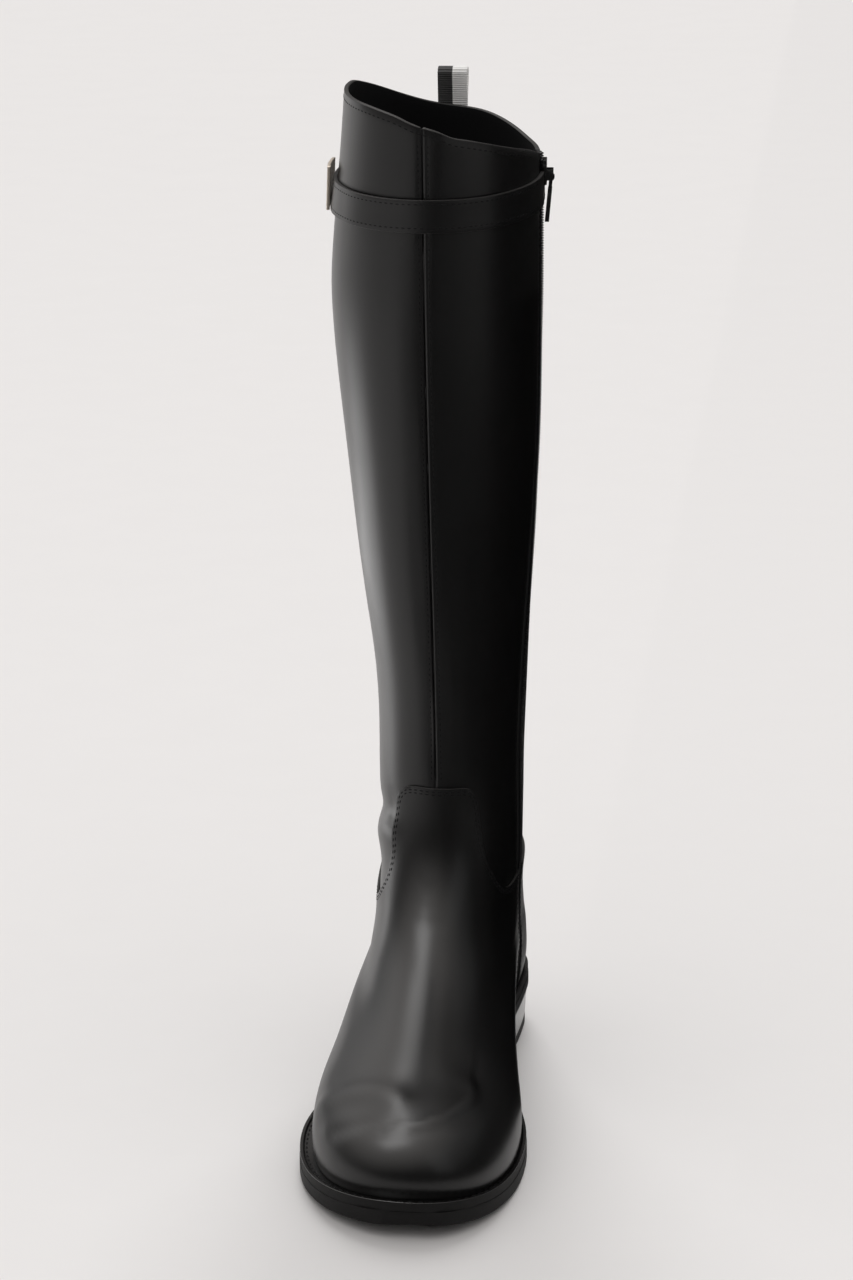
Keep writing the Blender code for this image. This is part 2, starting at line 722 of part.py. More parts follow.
def build_zip():
    """Zip tape with its raised coil, filling the slot of the upper."""
    half = SLOT_HALF - FIT
    section = (
        (-half, -TAPE_DEPTH), (half, -TAPE_DEPTH), (half, -TAPE_DEPTH + TAPE_WALL),
        (COIL_HALF, -TAPE_DEPTH + TAPE_WALL), (COIL_HALF * 0.6, COIL_RISE),
        (-COIL_HALF * 0.6, COIL_RISE), (-COIL_HALF, -TAPE_DEPTH + TAPE_WALL),
        (-half, -TAPE_DEPTH + TAPE_WALL),
    )
    rings = []
    for t in np.concatenate((np.linspace(0.0, 0.3, 13), np.linspace(0.34, 1.0, 14))):
        level = zip_level(t)
        length = section_at(level).back - section_at(level).front
        ring = []
        for across, away in section:
            share = zip_share(level) - across / length
            point, normal, _ = surface_frame(MEDIAL, share, level)
            ring.append(point + away * normal)
        rings.append(ring)
    return loft("zip", rings, ZIP_FABRIC, smooth_angle=40.0)


def zip_frame(z):
    """Point on the zip line and its outward, upward and sideways directions."""
    point, normal, up = surface_frame(MEDIAL, zip_share(z), z)
    return point, normal, up, np.cross(up, normal)


def block(work, frame, across, along, away, lean):
    """Add a box in a zip frame, given its ranges in three directions and its slope to the leather."""
    point, normal, up, side = frame
    corners = []
    for a in along:
        for u, n in ((0, 0), (1, 0), (1, 1), (0, 1)):
            place = point + side * across[u] + up * a + normal * (away[n] + lean * a)
            corners.append(work.verts.new(tuple(float(v) * MM for v in place)))
    for face in ((3, 2, 1, 0), (4, 5, 6, 7), (0, 1, 5, 4), (1, 2, 6, 5), (2, 3, 7, 6), (3, 0, 4, 7)):
        work.faces.new([corners[i] for i in face])


def disc_ring(frame, centre_away, radius, across, count=14):
    """Ring of points round the hinge axis of the pull."""
    point, normal, up, side = frame
    ring = []
    for i in range(count):
        angle = 2.0 * math.pi * i / count
        reach = normal * (centre_away + radius * math.cos(angle)) + up * radius * math.sin(angle)
        ring.append(point + side * across + reach)
    return ring


def pin_away():
    """Height of the hinge pin above the leather."""
    return COIL_RISE + FIT + SLIDER_WALL + FIT + EYE_OUTER


def join(name, parts, spec, smooth_angle=40.0):
    """Union of several closed shapes under one name."""
    base = parts[0]
    base.name = name
    base.data.name = name
    for part in parts[1:]:
        part.hide_render = True
        part.display_type = "WIRE"
        union = base.modifiers.new(part.name, "BOOLEAN")
        union.operation = "UNION"
        union.solver = "EXACT"
        union.object = part
    base.data.materials.clear()
    base.data.materials.append(material(spec))
    base.data.shade_smooth()
    base.data.set_sharp_from_angle(angle=math.radians(smooth_angle))
    return base


def box_object(name, frame, across, along, away, lean=0.0):
    """Closed box in a zip frame."""
    work = bmesh.new()
    block(work, frame, across, along, away, lean)
    bmesh.ops.recalc_face_normals(work, faces=work.faces)
    mesh = bpy.data.meshes.new(name)
    work.to_mesh(mesh)
    work.free()
    made = bpy.data.objects.new(name, mesh)
    bpy.context.collection.objects.link(made)
    return made


def build_zip_slider():
    """Slider body with two cheeks and the pin of the pull."""
    frame = zip_frame(SLIDER_Z)
    low = COIL_RISE + FIT
    high = low + SLIDER_WALL
    half = SLIDER_WIDTH / 2.0
    body = box_object("slider_body", frame, (-half, half), (-3.0, SLIDER_LENGTH - 3.0), (low, high))
    inner = EYE_WIDTH / 2.0 + FIT
    outer = inner + CHEEK_WALL
    reach = pin_away() + PIN_RADIUS + 0.4
    parts = [body]
    for sign in (-1.0, 1.0):
        across = sorted((sign * inner, sign * outer))
        parts.append(box_object("cheek", frame, across, (-1.2, 3.6), (high - 0.4, reach)))
    pin = [disc_ring(frame, pin_away(), PIN_RADIUS, s * (inner + 0.5)) for s in (-1.0, 1.0)]
    parts.append(loft("slider_pin", pin, None))
    return join("zip_slider", parts, BLACK_METAL)


def build_zip_pull():
    """Pull tab that hangs from the slider's pin by an eye."""
    frame = zip_frame(SLIDER_Z)
    half = EYE_WIDTH / 2.0
    rings = [
        disc_ring(frame, pin_away(), EYE_OUTER, -half),
        disc_ring(frame, pin_away(), EYE_OUTER, half),
        disc_ring(frame, pin_away(), EYE_INNER, half),
        disc_ring(frame, pin_away(), EYE_INNER, -half),
    ]
    eye = loft("pull_eye", rings, None, looped=True)
    away = (pin_away() - PULL_WALL / 2.0, pin_away() + PULL_WALL / 2.0)
    wide = PULL_WIDTH / 2.0
    thin = (away[0] + 0.15, away[1] - 0.15)
    lean = PULL_LEAN / PULL_LENGTH
    neck = box_object("pull_neck", frame, (0.3 - half, half - 0.3), (-6.0, -1.25), thin, lean)
    blade = box_object("pull_blade", frame, (-wide, wide), (-PULL_LENGTH, -5.0), away, lean)
    return join("zip_pull", [eye, neck, blade], BLACK_METAL)


def build_pull_loop():
    """Ribbon loop sewn to the back of the collar."""
    middle = last_point(MEDIAL, 0.0, 430.0)
    leg_away = FIT + LOOP_WALL / 2.0
    path = []
    for z in np.linspace(LOOP_LEG_END, 437.0, 4):
        path.append((float(last_point(MEDIAL, 0.0, z)[1]) + leg_away, z))
    base_y = path[-1][0]
    half = LOOP_GAP / 2.0 + LOOP_WALL / 2.0
    bend_z = LOOP_TOP - LOOP_WALL / 2.0 - half
    centre_y = base_y + half - 1.2
    for angle in np.linspace(180.0, 0.0, 9):
        turn = math.radians(angle)
        path.append((centre_y + half * math.cos(turn), bend_z + half * math.sin(turn)))
    leg_away += LOOP_WALL + FIT
    for z in np.linspace(438.0, LOOP_LEG_END, 4):
        path.append((float(last_point(MEDIAL, 0.0, min(z, 437.0))[1]) + leg_away, z))
    path = np.array(path)
    along = np.gradient(path, axis=0)
    along /= np.linalg.norm(along, axis=1, keepdims=True)
    rings = []
    for (y, z), (dy, dz) in zip(path, along):
        ny, nz = dz * LOOP_WALL / 2.0, -dy * LOOP_WALL / 2.0
        left = middle[0] + LOOP_SHIFT - LOOP_WIDTH / 2.0
        right = left + LOOP_WIDTH
        rings.append((
            (left, y - ny, z - nz), (right, y - ny, z - nz),
            (right, y + ny, z + nz), (left, y + ny, z + nz),
        ))
    return loft("pull_loop", rings, RIBBON, smooth_angle=40.0)


def main():
    """Clear the scene and build every piece."""
    for old in list(bpy.data.objects):
        bpy.data.objects.remove(old)
    build_upper()
    build_vamp()
    build_outsole()
    build_welt()
    build_insole()
    build_heel()
    build_heel_lift()
    build_strap()
    build_strap_plate()
    build_zip()
    build_zip_slider()
    build_zip_pull()
    build_pull_loop()


main()
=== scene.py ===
"""Looks of a tall black riding boot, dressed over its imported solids.

Places are in metres in the boot's own frame: +Z up, the toe along -Y, the zip
side along +X and the floor at z = 0. Names that end in _mm hold millimetres.
"""

import logging
import math
from collections.abc import Iterator, Sequence
from contextlib import contextmanager
from dataclasses import dataclass
from enum import Enum

import bmesh
import bpy
import numpy as np
from mathutils import Matrix, Vector
from mathutils.bvhtree import BVHTree


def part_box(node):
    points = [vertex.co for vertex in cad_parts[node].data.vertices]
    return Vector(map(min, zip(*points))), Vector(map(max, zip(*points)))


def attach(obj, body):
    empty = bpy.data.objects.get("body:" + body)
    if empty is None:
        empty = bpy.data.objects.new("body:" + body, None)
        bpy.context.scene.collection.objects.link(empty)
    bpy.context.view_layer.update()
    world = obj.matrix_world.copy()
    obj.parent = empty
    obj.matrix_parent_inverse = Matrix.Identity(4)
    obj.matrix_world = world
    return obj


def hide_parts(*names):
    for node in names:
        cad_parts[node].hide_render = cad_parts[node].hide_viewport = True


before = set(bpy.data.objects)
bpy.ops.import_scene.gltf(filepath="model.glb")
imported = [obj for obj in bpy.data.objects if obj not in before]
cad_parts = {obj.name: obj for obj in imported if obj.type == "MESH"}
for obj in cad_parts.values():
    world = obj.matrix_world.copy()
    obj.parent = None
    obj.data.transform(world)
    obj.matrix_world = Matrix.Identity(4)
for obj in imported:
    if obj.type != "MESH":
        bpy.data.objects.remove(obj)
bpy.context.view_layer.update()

Array = np.ndarray
Piece = bpy.types.Object
Material = bpy.types.Material
Tree = bpy.types.NodeTree
Node = bpy.types.Node
Socket = bpy.types.NodeSocket
Triple = tuple[float, float, float]

MM = 0.001
# Middle of the shaft, and a distance clear of the leather from which rays start.
SHAFT_X = -0.002
SHAFT_Y = -0.030
OUTSIDE = 0.15
log = logging.getLogger("boot")


class Body(Enum):
    """Moving bodies of the boot."""

    BOOT = "boot"
    PULL = "pull_tab"


class Slot(Enum):
    """Material slots of the record."""

    LEATHER = "black_leather"
    RUBBER = "black_rubber"
    LACQUER = "heel_lacquer"
    INSOLE = "insole_leather"
    ZIP = "zip_fabric"
    BLACK_METAL = "black_metal"
    BRIGHT_METAL = "bright_metal"
    RIBBON = "ribbon"


class Ribs(Enum):
    """Run of a textile's ribs, as Blender names it."""

    LEVEL = "Z"
    TWISTED = "DIAGONAL"


class Side(Enum):
    """Sides of the boot, with the sign of their X."""

    LATERAL = -1.0
    MEDIAL = 1.0


def linear(colour: str) -> tuple[float, float, float, float]:
    """Turn an sRGB hex colour into linear light.

    Args:
        colour: Hex colour such as "#0c0c0d".

    Returns:
        Linear red, green and blue with full alpha.
    """
    parts = [int(colour[i : i + 2], 16) / 255.0 for i in (1, 3, 5)]
    light = [c / 12.92 if c <= 0.04045 else ((c + 0.055) / 1.055) ** 2.4 for c in parts]
    return (*light, 1.0)


def add_node(
    tree: Tree,
    kind: str,
    inputs: dict | None = None,
    settings: dict | None = None,
) -> Node:
    """Add a shader node, set it and link it.

    Args:
        tree: Node tree of the material.
        kind: Blender's type name of the node.
        inputs: Input names or numbers with a value, or an output socket to link.
        settings: Properties of the node.

    Returns:
        The new node.
    """
    node = tree.nodes.new(kind)
    for name, value in (settings or {}).items():
        setattr(node, name, value)
    for name, value in (inputs or {}).items():
        if isinstance(value, Socket):
            tree.links.new(value, node.inputs[name])
        else:
            node.inputs[name].default_value = value
    return node


@dataclass(frozen=True)
class Finish:
    """One surface finish, which becomes one material."""

    name: str
    colour: str
    shade: str
    roughness: float
    grain_mm: float
    depth_mm: float
    ior: float = 1.5
    specular: float = 0.5
    metallic: float = 0.0
    coat: float = 0.0
    coat_roughness: float = 0.1
    sheen: float = 0.0
    patch_grains: float = 40.0
    uneven: float = 0.15

    def material(self) -> Material:
        """Make the material.

        Returns:
            The new material.
        """
        made = bpy.data.materials.new(self.name)
        made.use_nodes = True
        tree = made.node_tree
        shader = tree.nodes["Principled BSDF"]
        values = {
            "Base Color": linear(self.colour),
            "Roughness": self.roughness,
            "IOR": self.ior,
            "Specular IOR Level": self.specular,
            "Metallic": self.metallic,
            "Coat Weight": self.coat,
            "Coat Roughness": self.coat_roughness,
            "Sheen Weight": self.sheen,
        }
        for name, value in values.items():
            shader.inputs[name].default_value = value
        place = add_node(tree, "ShaderNodeTexCoord").outputs["Object"]
        self.tint(tree, shader, self.tone(tree, place))
        self.relief(tree, shader, self.height(tree, place))
        return made

    def scale(self, grains: float = 1.0) -> float:
        """Texture scale of a pattern as large as some grains."""
        return 1.0 / (grains * self.grain_mm * MM)

    def height(self, tree: Tree, place: Socket) -> Socket:
        """Height map of a fine irregular grain."""
        noise = {"Vector": place, "Scale": self.scale(), "Detail": 3.0}
        return add_node(tree, "ShaderNodeTexNoise", noise).outputs[0]

    def cloud(self, tree: Tree, place: Socket, grains: float) -> Socket:
        """Slow change over the surface, in patches as large as some grains."""
        noise = {"Vector": place, "Scale": self.scale(grains), "Detail": 4.0, "Roughness": 0.6}
        return add_node(tree, "ShaderNodeTexNoise", noise).outputs[0]

    def tone(self, tree: Tree, place: Socket) -> Socket:
        """Share of the second colour, in slow clouds."""
        return self.cloud(tree, place, self.patch_grains)

    def tint(self, tree: Tree, shader: Node, share: Socket) -> None:
        """Vary the colour and the gloss.

        Args:
            tree: Node tree of the material.
            shader: Principled shader of the material.
            share: Share of the second colour.
        """
        colours = {0: share, 6: linear(self.colour), 7: linear(self.shade)}
        mix = add_node(tree, "ShaderNodeMix", colours, {"data_type": "RGBA"})
        tree.links.new(mix.outputs[2], shader.inputs["Base Color"])
        change = self.roughness * self.uneven
        gloss = {"Value": share, "To Min": self.roughness - change, "To Max": self.roughness + change}
        spread = add_node(tree, "ShaderNodeMapRange", gloss)
        tree.links.new(spread.outputs[0], shader.inputs["Roughness"])

    def relief(self, tree: Tree, shader: Node, height: Socket) -> None:
        """Raise the surface by a height map.

        Args:
            tree: Node tree of the material.
            shader: Principled shader of the material.
            height: Height between 0 and 1.
        """
        rise = {"Height": height, "Distance": self.depth_mm * MM, "Strength": 1.0}
        bump = add_node(tree, "ShaderNodeBump", rise)
        for normal in ("Normal", "Coat Normal"):
            tree.links.new(bump.outputs[0], shader.inputs[normal])


@dataclass(frozen=True)
class Leather(Finish):
    """Polished calf leather: tight pores that soften its reflections."""

    patch_grains: float = 60.0
    pull_grains: float = 9.0
    pull: float = 1.6

    def height(self, tree: Tree, place: Socket) -> Socket:
        """Height map of pores with faint pull marks.

        Args:
            tree: Node tree of the material.
            place: Coordinates of the surface.

        Returns:
            Height of the surface.
        """
        cells = {"Vector": place, "Scale": self.scale(), "Randomness": 0.9}
        pores = add_node(tree, "ShaderNodeTexVoronoi", cells, {"feature": "SMOOTH_F1"}).outputs[0]
        both = {0: self.cloud(tree, place, self.pull_grains), 1: self.pull, 2: pores}
        return add_node(tree, "ShaderNodeMath", both, {"operation": "MULTIPLY_ADD"}).outputs[0]


@dataclass(frozen=True)
class Woven(Finish):
    """Woven textile: even ribs across one direction."""

    ribs: Ribs = Ribs.LEVEL
    patch_grains: float = 20.0

    def height(self, tree: Tree, place: Socket) -> Socket:
        """Height map of the ribs of the weave.

        Args:
            tree: Node tree of the material.
            place: Coordinates of the surface.

        Returns:
            Height between 0 and 1.
        """
        wave = {"Vector": place, "Scale": math.pi * self.scale(10.0), "Distortion": 0.3}
        bands = {"wave_type": "BANDS", "bands_direction": self.ribs.value, "wave_profile": "SIN"}
        return add_node(tree, "ShaderNodeTexWave", wave, bands).outputs[1]


@dataclass(frozen=True)
class TwoToneRibbon(Woven):
    """Ribbed grosgrain, black on one half of its width and white on the other."""

    split_x: float = 0.0
    edge_mm: float = 0.15
    uneven: float = 0.0

    def tone(self, tree: Tree, place: Socket) -> Socket:
        """Change from black to white at the middle of the width.

        Args:
            tree: Node tree of the material.
            place: Coordinates of the surface.

        Returns:
            Share of white.
        """
        across = add_node(tree, "ShaderNodeSeparateXYZ", {0: place}).outputs[0]
        half = self.edge_mm * MM
        ends = {"Value": across, "From Min": self.split_x - half, "From Max": self.split_x + half}
        return add_node(tree, "ShaderNodeMapRange", ends).outputs[0]


@dataclass(frozen=True)
class Brushed(Finish):
    """Brushed metal: fine lines along its height that draw out the highlights."""

    stretch: float = 40.0

    def height(self, tree: Tree, place: Socket) -> Socket:
        """Height map of the brush lines.

        Args:
            tree: Node tree of the material.
            place: Coordinates of the surface.

        Returns:
            Height between 0 and 1.
        """
        squeeze = {"Vector": place, "Scale": (1.0, 1.0, 1.0 / self.stretch)}
        drawn = add_node(tree, "ShaderNodeMapping", squeeze).outputs[0]
        noise = {"Vector": drawn, "Scale": self.scale(), "Detail": 2.0}
        return add_node(tree, "ShaderNodeTexNoise", noise).outputs[0]

    def tone(self, tree: Tree, place: Socket) -> Socket:
        """Share of the second colour, along the brush lines."""
        return self.height(tree, place)


def activate(piece: Piece) -> None:
    """Make one object the only selected and active one.

    Args:
        piece: Object to work on.
    """
    bpy.ops.object.select_all(action="DESELECT")
    piece.select_set(True)
    bpy.context.view_layer.objects.active = piece


@contextmanager
def editing(piece: Piece) -> Iterator[None]:
    """Work on an object in edit mode with everything selected.

    Args:
        piece: Object to edit.

    Yields:
        Nothing; edit mode lasts as long as the block.
    """
    activate(piece)
    bpy.ops.object.mode_set(mode="EDIT")
    bpy.ops.mesh.select_all(action="SELECT")
    yield
    bpy.ops.object.mode_set(mode="OBJECT")


def apply_modifier(piece: Piece, kind: str, **settings: object) -> None:
    """Add a modifier, set it and apply it.

    Args:
        piece: Object to change.
        kind: Blender's type name of the modifier.
        **settings: Properties of the modifier.
    """
    modifier = piece.modifiers.new(kind.lower(), kind)
    for name, value in settings.items():
        setattr(modifier, name, value)
    activate(piece)
    bpy.ops.object.modifier_apply(modifier=modifier.name)


def bevel(piece: Piece, width_mm: float, angle_deg: float, segments: int = 3) -> None:
    """Round the edges that are sharper than an angle.

    Args:
        piece: Object to change.
        width_mm: Width of the rounding.
        angle_deg: Least angle between the faces of a sharp edge.
        segments: Faces across the rounding.
    """
    limit = math.radians(angle_deg)
    apply_modifier(
        piece, "BEVEL", width=width_mm * MM, segments=segments, limit_method="ANGLE", angle_limit=limit
    )


def put(name: str, data: bpy.types.ID) -> Piece:
    """Put a new object into the scene.

    Args:
        name: Name of the object.
        data: Its mesh, light or camera.

    Returns:
        The new object.
    """
    piece = bpy.data.objects.new(name, data)
    bpy.context.scene.collection.objects.link(piece)
    return piece


def unit(rows: Array) -> Array:
    """Scale each row to length one."""
    return rows / np.linalg.norm(rows, axis=1, keepdims=True)


def get_points(piece: Piece) -> Array:
    """Read the places of all vertices.

    Args:
        piece: Mesh object.

    Returns:
        One row of three coordinates for each vertex.
    """
    points = np.empty(len(piece.data.vertices) * 3)
    piece.data.vertices.foreach_get("co", points)
    return points.reshape(-1, 3)


def set_points(piece: Piece, points: Array) -> None:
    """Move all vertices.

    Args:
        piece: Mesh object.
        points: One row of three coordinates for each vertex.
    """
    piece.data.vertices.foreach_set("co", np.ascontiguousarray(points).ravel())
    piece.data.update()


def get_normals(piece: Piece) -> Array:
    """Read the normals of all vertices.

    Args:
        piece: Mesh object.

    Returns:
        One unit row for each vertex.
    """
    normals = np.empty(len(piece.data.vertices) * 3)
    piece.data.vertex_normals.foreach_get("vector", normals)
    return normals.reshape(-1, 3)


def cad_copy(node: str, name: str) -> Piece:
    """Copy a solid and turn its triangles back into quads.

    Args:
        node: Name of the solid's node.
        name: Name of the new piece.

    Returns:
        The new piece, merged and free of old normals and materials.
    """
    piece = put(name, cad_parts[node].data.copy())
    piece.data.name = name
    piece.data.materials.clear()
    activate(piece)
    bpy.ops.mesh.customdata_custom_splitnormals_clear()
    with editing(piece):
        bpy.ops.mesh.remove_doubles(threshold=1e-6)
        bpy.ops.mesh.tris_convert_to_quads(
            face_threshold=math.pi, shape_threshold=math.pi, topology_influence=2.0
        )
    return piece


def crease_sharp_edges(piece: Piece, angle_deg: float, weight: float = 1.0) -> None:
    """Keep edges sharper than an angle when the surface is subdivided.

    Args:
        piece: Mesh object.
        angle_deg: Least angle between the faces of a sharp edge.
        weight: Crease weight of a sharp edge.
    """
    work = bmesh.new()
    work.from_mesh(piece.data)
    layer = work.edges.layers.float.new("crease_edge")
    for edge in work.edges:
        if edge.calc_face_angle(0.0) > math.radians(angle_deg):
            edge[layer] = weight
    work.to_mesh(piece.data)
    work.free()


def subdivide_fitted(piece: Piece, levels: int = 2, rounds: int = 3) -> None:
    """Subdivide a surface so that it still passes through its own points.

    Args:
        piece: Mesh object.
        levels: Subdivision levels.
        rounds: Corrections of the cage.
    """
    aim = get_points(piece)
    cage = aim.copy()
    count = len(aim)
    modifier = piece.modifiers.new("smooth", "SUBSURF")
    modifier.levels = levels
    modifier.render_levels = levels
    for _ in range(rounds):
        evaluated = piece.evaluated_get(bpy.context.evaluated_depsgraph_get())
        reached = get_points(evaluated)[:count]
        cage = cage + 0.9 * (aim - reached)
        set_points(piece, cage)
    activate(piece)
    bpy.ops.object.modifier_apply(modifier=modifier.name)


def smooth_copy(
    node: str, name: str, angle_deg: float, weight: float = 1.0, levels: int = 2
) -> Piece:
    """Copy a solid and subdivide it between its sharp edges.

    Args:
        node: Name of the solid's node.
        name: Name of the new piece.
        angle_deg: Least angle between the faces of a sharp edge.
        weight: Crease weight of a sharp edge.
        levels: Subdivision levels.

    Returns:
        The new piece.
    """
    piece = cad_copy(node, name)
    crease_sharp_edges(piece, angle_deg, weight)
    subdivide_fitted(piece, levels)
    return piece


def dress(
    piece: Piece,
    materials: Sequence[Material],
    replaced: Sequence[str] = (),
    body: Body = Body.BOOT,
    smooth_deg: float = 40.0,
) -> None:
    """Shade a finished piece, give it its materials and hand it to its body.

    Args:
        piece: Finished mesh object.
        materials: Materials in slot order.
        replaced: Nodes that the piece stands for.
        body: Body that the piece rides on.
        smooth_deg: Greatest angle that is shaded smooth.
    """
    indices = [polygon.material_index for polygon in piece.data.polygons]
    piece.data.materials.clear()
    for material in materials:
        piece.data.materials.append(material)
    piece.data.polygons.foreach_set("material_index", indices)
    activate(piece)
    bpy.ops.object.shade_smooth_by_angle(angle=math.radians(smooth_deg))
    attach(piece, body.value)
    if replaced:
        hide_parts(*replaced)
    piece.data.calc_loop_triangles()
    log.info("%s: %d triangles", piece.name, len(piece.data.loop_triangles))


def surface_tree(*pieces: Piece) -> BVHTree:
    """Search tree over the faces of one or more pieces.

    Args:
        *pieces: Mesh objects at the origin.

    Returns:
        The search tree.
    """
    points: list[Vector] = []
    faces: list[list[int]] = []
    for piece in pieces:
        first = len(points)
        points += [vertex.co.copy() for vertex in piece.data.vertices]
        faces += [[first + i for i in polygon.vertices] for polygon in piece.data.polygons]
    return BVHTree.FromPolygons(points, faces)


@dataclass
class Line:
    """Open or closed line that lies on a surface."""

    points: Array
    normals: Array

    def spaced(self, pitch: float) -> tuple[Array, Array, Array]:
        """Even stations along the line.

        Args:
            pitch: Distance between stations.

        Returns:
            Places, unit directions along the line and unit normals.
        """
        steps = np.linalg.norm(np.diff(self.points, axis=0), axis=1)
        run = np.concatenate(((0.0,), np.cumsum(steps)))
        count = max(2, int(run[-1] / pitch))
        at = (np.arange(count) + 0.5) * run[-1] / count
        place = np.column_stack([np.interp(at, run, self.points[:, k]) for k in range(3)])
        up = np.column_stack([np.interp(at, run, self.normals[:, k]) for k in range(3)])
        along = unit(np.gradient(place, axis=0))
        up -= along * (up * along).sum(axis=1, keepdims=True)
        return place, along, unit(up)


def cast_line(tree: BVHTree, starts: Array, ways: Array | Triple, reach: float) -> Line:
    """Drop a row of points onto a surface.

    Args:
        tree: Search tree of the surface.
        starts: Points off the surface.
        ways: Directions towards it, or one for all.
        reach: Greatest distance to the surface.

    Returns:
        The line through the points that met it.
    """
    points = []
    normals = []
    for start, way in zip(starts, np.broadcast_to(ways, starts.shape)):
        place, normal, _, _ = tree.ray_cast(Vector(start), Vector(way), reach)
        if place is not None:
            points.append(place)
            normals.append(normal if normal.dot(Vector(way)) < 0.0 else -normal)
    return Line(np.array(points), np.array(normals))


def line_round_shaft(tree: BVHTree, angles: Array, heights: Array | float) -> Line:
    """Line round the outside of the shaft.

    Args:
        tree: Search tree of the leather.
        angles: Directions from the shaft's middle, from the front towards the zip side.
        heights: Height in each direction, or one for all.

    Returns:
        The line on the outer face.
    """
    ways = np.column_stack((np.sin(angles), -np.cos(angles), np.zeros_like(angles)))
    middle = np.tile((SHAFT_X, SHAFT_Y, 0.0), (len(angles), 1))
    middle[:, 2] = heights
    return cast_line(tree, middle + ways * OUTSIDE, -ways, OUTSIDE - 0.01)


def grain(length: float, width: float, height: float, rings: int) -> Piece:
    """Model a small rounded grain along X.

    Args:
        length: Length of the grain.
        width: Half its width.
        height: Half its height.
        rings: Rings of faces along it.

    Returns:
        The grain.
    """
    bpy.ops.object.select_all(action="DESELECT")
    bpy.ops.mesh.primitive_uv_sphere_add(segments=8, ring_count=rings, radius=1.0)
    model = bpy.context.active_object
    with editing(model):
        bpy.ops.transform.rotate(value=math.pi / 2.0, orient_axis="Y", center_override=(0.0, 0.0, 0.0))
        bpy.ops.transform.resize(value=(length / 2.0, width, height))
    return model


def copies_along(
    name: str, model: Piece, place: Array, along: Array, up: Array
) -> Piece:
    """Copy one small model to many stations, as one mesh.

    Args:
        name: Name of the new piece.
        model: Small object modelled along X with Z outwards; it is removed.
        place: Places of the copies.
        along: Directions of the copies' X.
        up: Directions of the copies' Z.

    Returns:
        The joined piece.
    """
    shape = get_points(model)
    faces = [list(polygon.vertices) for polygon in model.data.polygons]
    across = np.cross(up, along)
    points = (
        place[:, None, :]
        + shape[None, :, 0:1] * along[:, None, :]
        + shape[None, :, 1:2] * across[:, None, :]
        + shape[None, :, 2:3] * up[:, None, :]
    )
    count = len(shape)
    every = [[k * count + i for i in face] for k in range(len(place)) for face in faces]
    mesh = bpy.data.meshes.new(name)
    mesh.from_pydata(points.reshape(-1, 3).tolist(), [], every)
    bpy.data.objects.remove(model)
    return put(name, mesh)


@dataclass(frozen=True)
class Thread:
    """Sewing thread of one kind of seam."""

    length_mm: float = 2.2
    gap_mm: float = 0.7
    radius_mm: float = 0.32
    sunk_mm: float = 0.06

    def stitch(self) -> Piece:
        """Model one stitch as a grain that dips at both ends.

        Returns:
            The stitch, along X.
        """
        radius = self.radius_mm * MM
        model = grain(self.length_mm * MM, radius, 0.9 * radius, 6)
        points = get_points(model)
        share = points[:, 0] / (self.length_mm * MM / 2.0)
        points[:, 2] -= 0.5 * radius * share**2
        set_points(model, points)
        return model

    def sew(
        self, name: str, lines: Sequence[Line], finish: Material, slot: Slot = Slot.LEATHER
    ) -> None:
        """Sew rows of stitches, as one piece.

        Args:
            name: Name of the new piece.
            lines: Lines that the rows follow.
            finish: Finish of the thread.
            slot: Not used.
        """
        rows = [line.spaced((self.length_mm + self.gap_mm) * MM) for line in lines]
        place, along, up = (np.concatenate(parts) for parts in zip(*rows))
        stitches = copies_along(name, self.stitch(), place - up * self.sunk_mm * MM, along, up)
        dress(stitches, (finish,))


def polyline_distance(points: Array, line: Array) -> tuple[Array, Array]:
    """Distance of points from a line of straight pieces.

    Args:
        points: Points to measure.
        line: Corners of the line.

    Returns:
        One distance for each point, and whether it lies left of the line as seen from above.
    """
    best = np.full(len(points), np.inf)
    left = np.zeros(len(points), dtype=bool)
    for a, b in zip(line[:-1], line[1:]):
        way = b - a
        share = np.clip((points - a) @ way / (way @ way), 0.0, 1.0)
        off = points - a - share[:, None] * way
        gap = np.linalg.norm(off, axis=1)
        nearer = gap < best
        left[nearer] = (way[0] * off[:, 1] - way[1] * off[:, 0] > 0.0)[nearer]
        best = np.minimum(best, gap)
    return best, left


@dataclass(frozen=True)
class Fold:
    """Soft ridge or trough along a line, in millimetres, with a longer slope on its left if given."""

    name: str
    rise_mm: float
    width_mm: float
    path_mm: tuple[Triple, ...]
    slope_mm: float = 0.0

    def lift(self, points: Array) -> Array:
        """Rise of the leather at some points.

        Args:
            points: Points in metres.

        Returns:
            Rise in metres, below zero in a trough.
        """
        away, left = polyline_distance(points / MM, np.array(self.path_mm, dtype=float))
        share = np.exp(-((away / self.width_mm) ** 2))
        if self.slope_mm:
            share = np.where(left, np.exp(-away / self.slope_mm), share)
        return self.rise_mm * MM * share


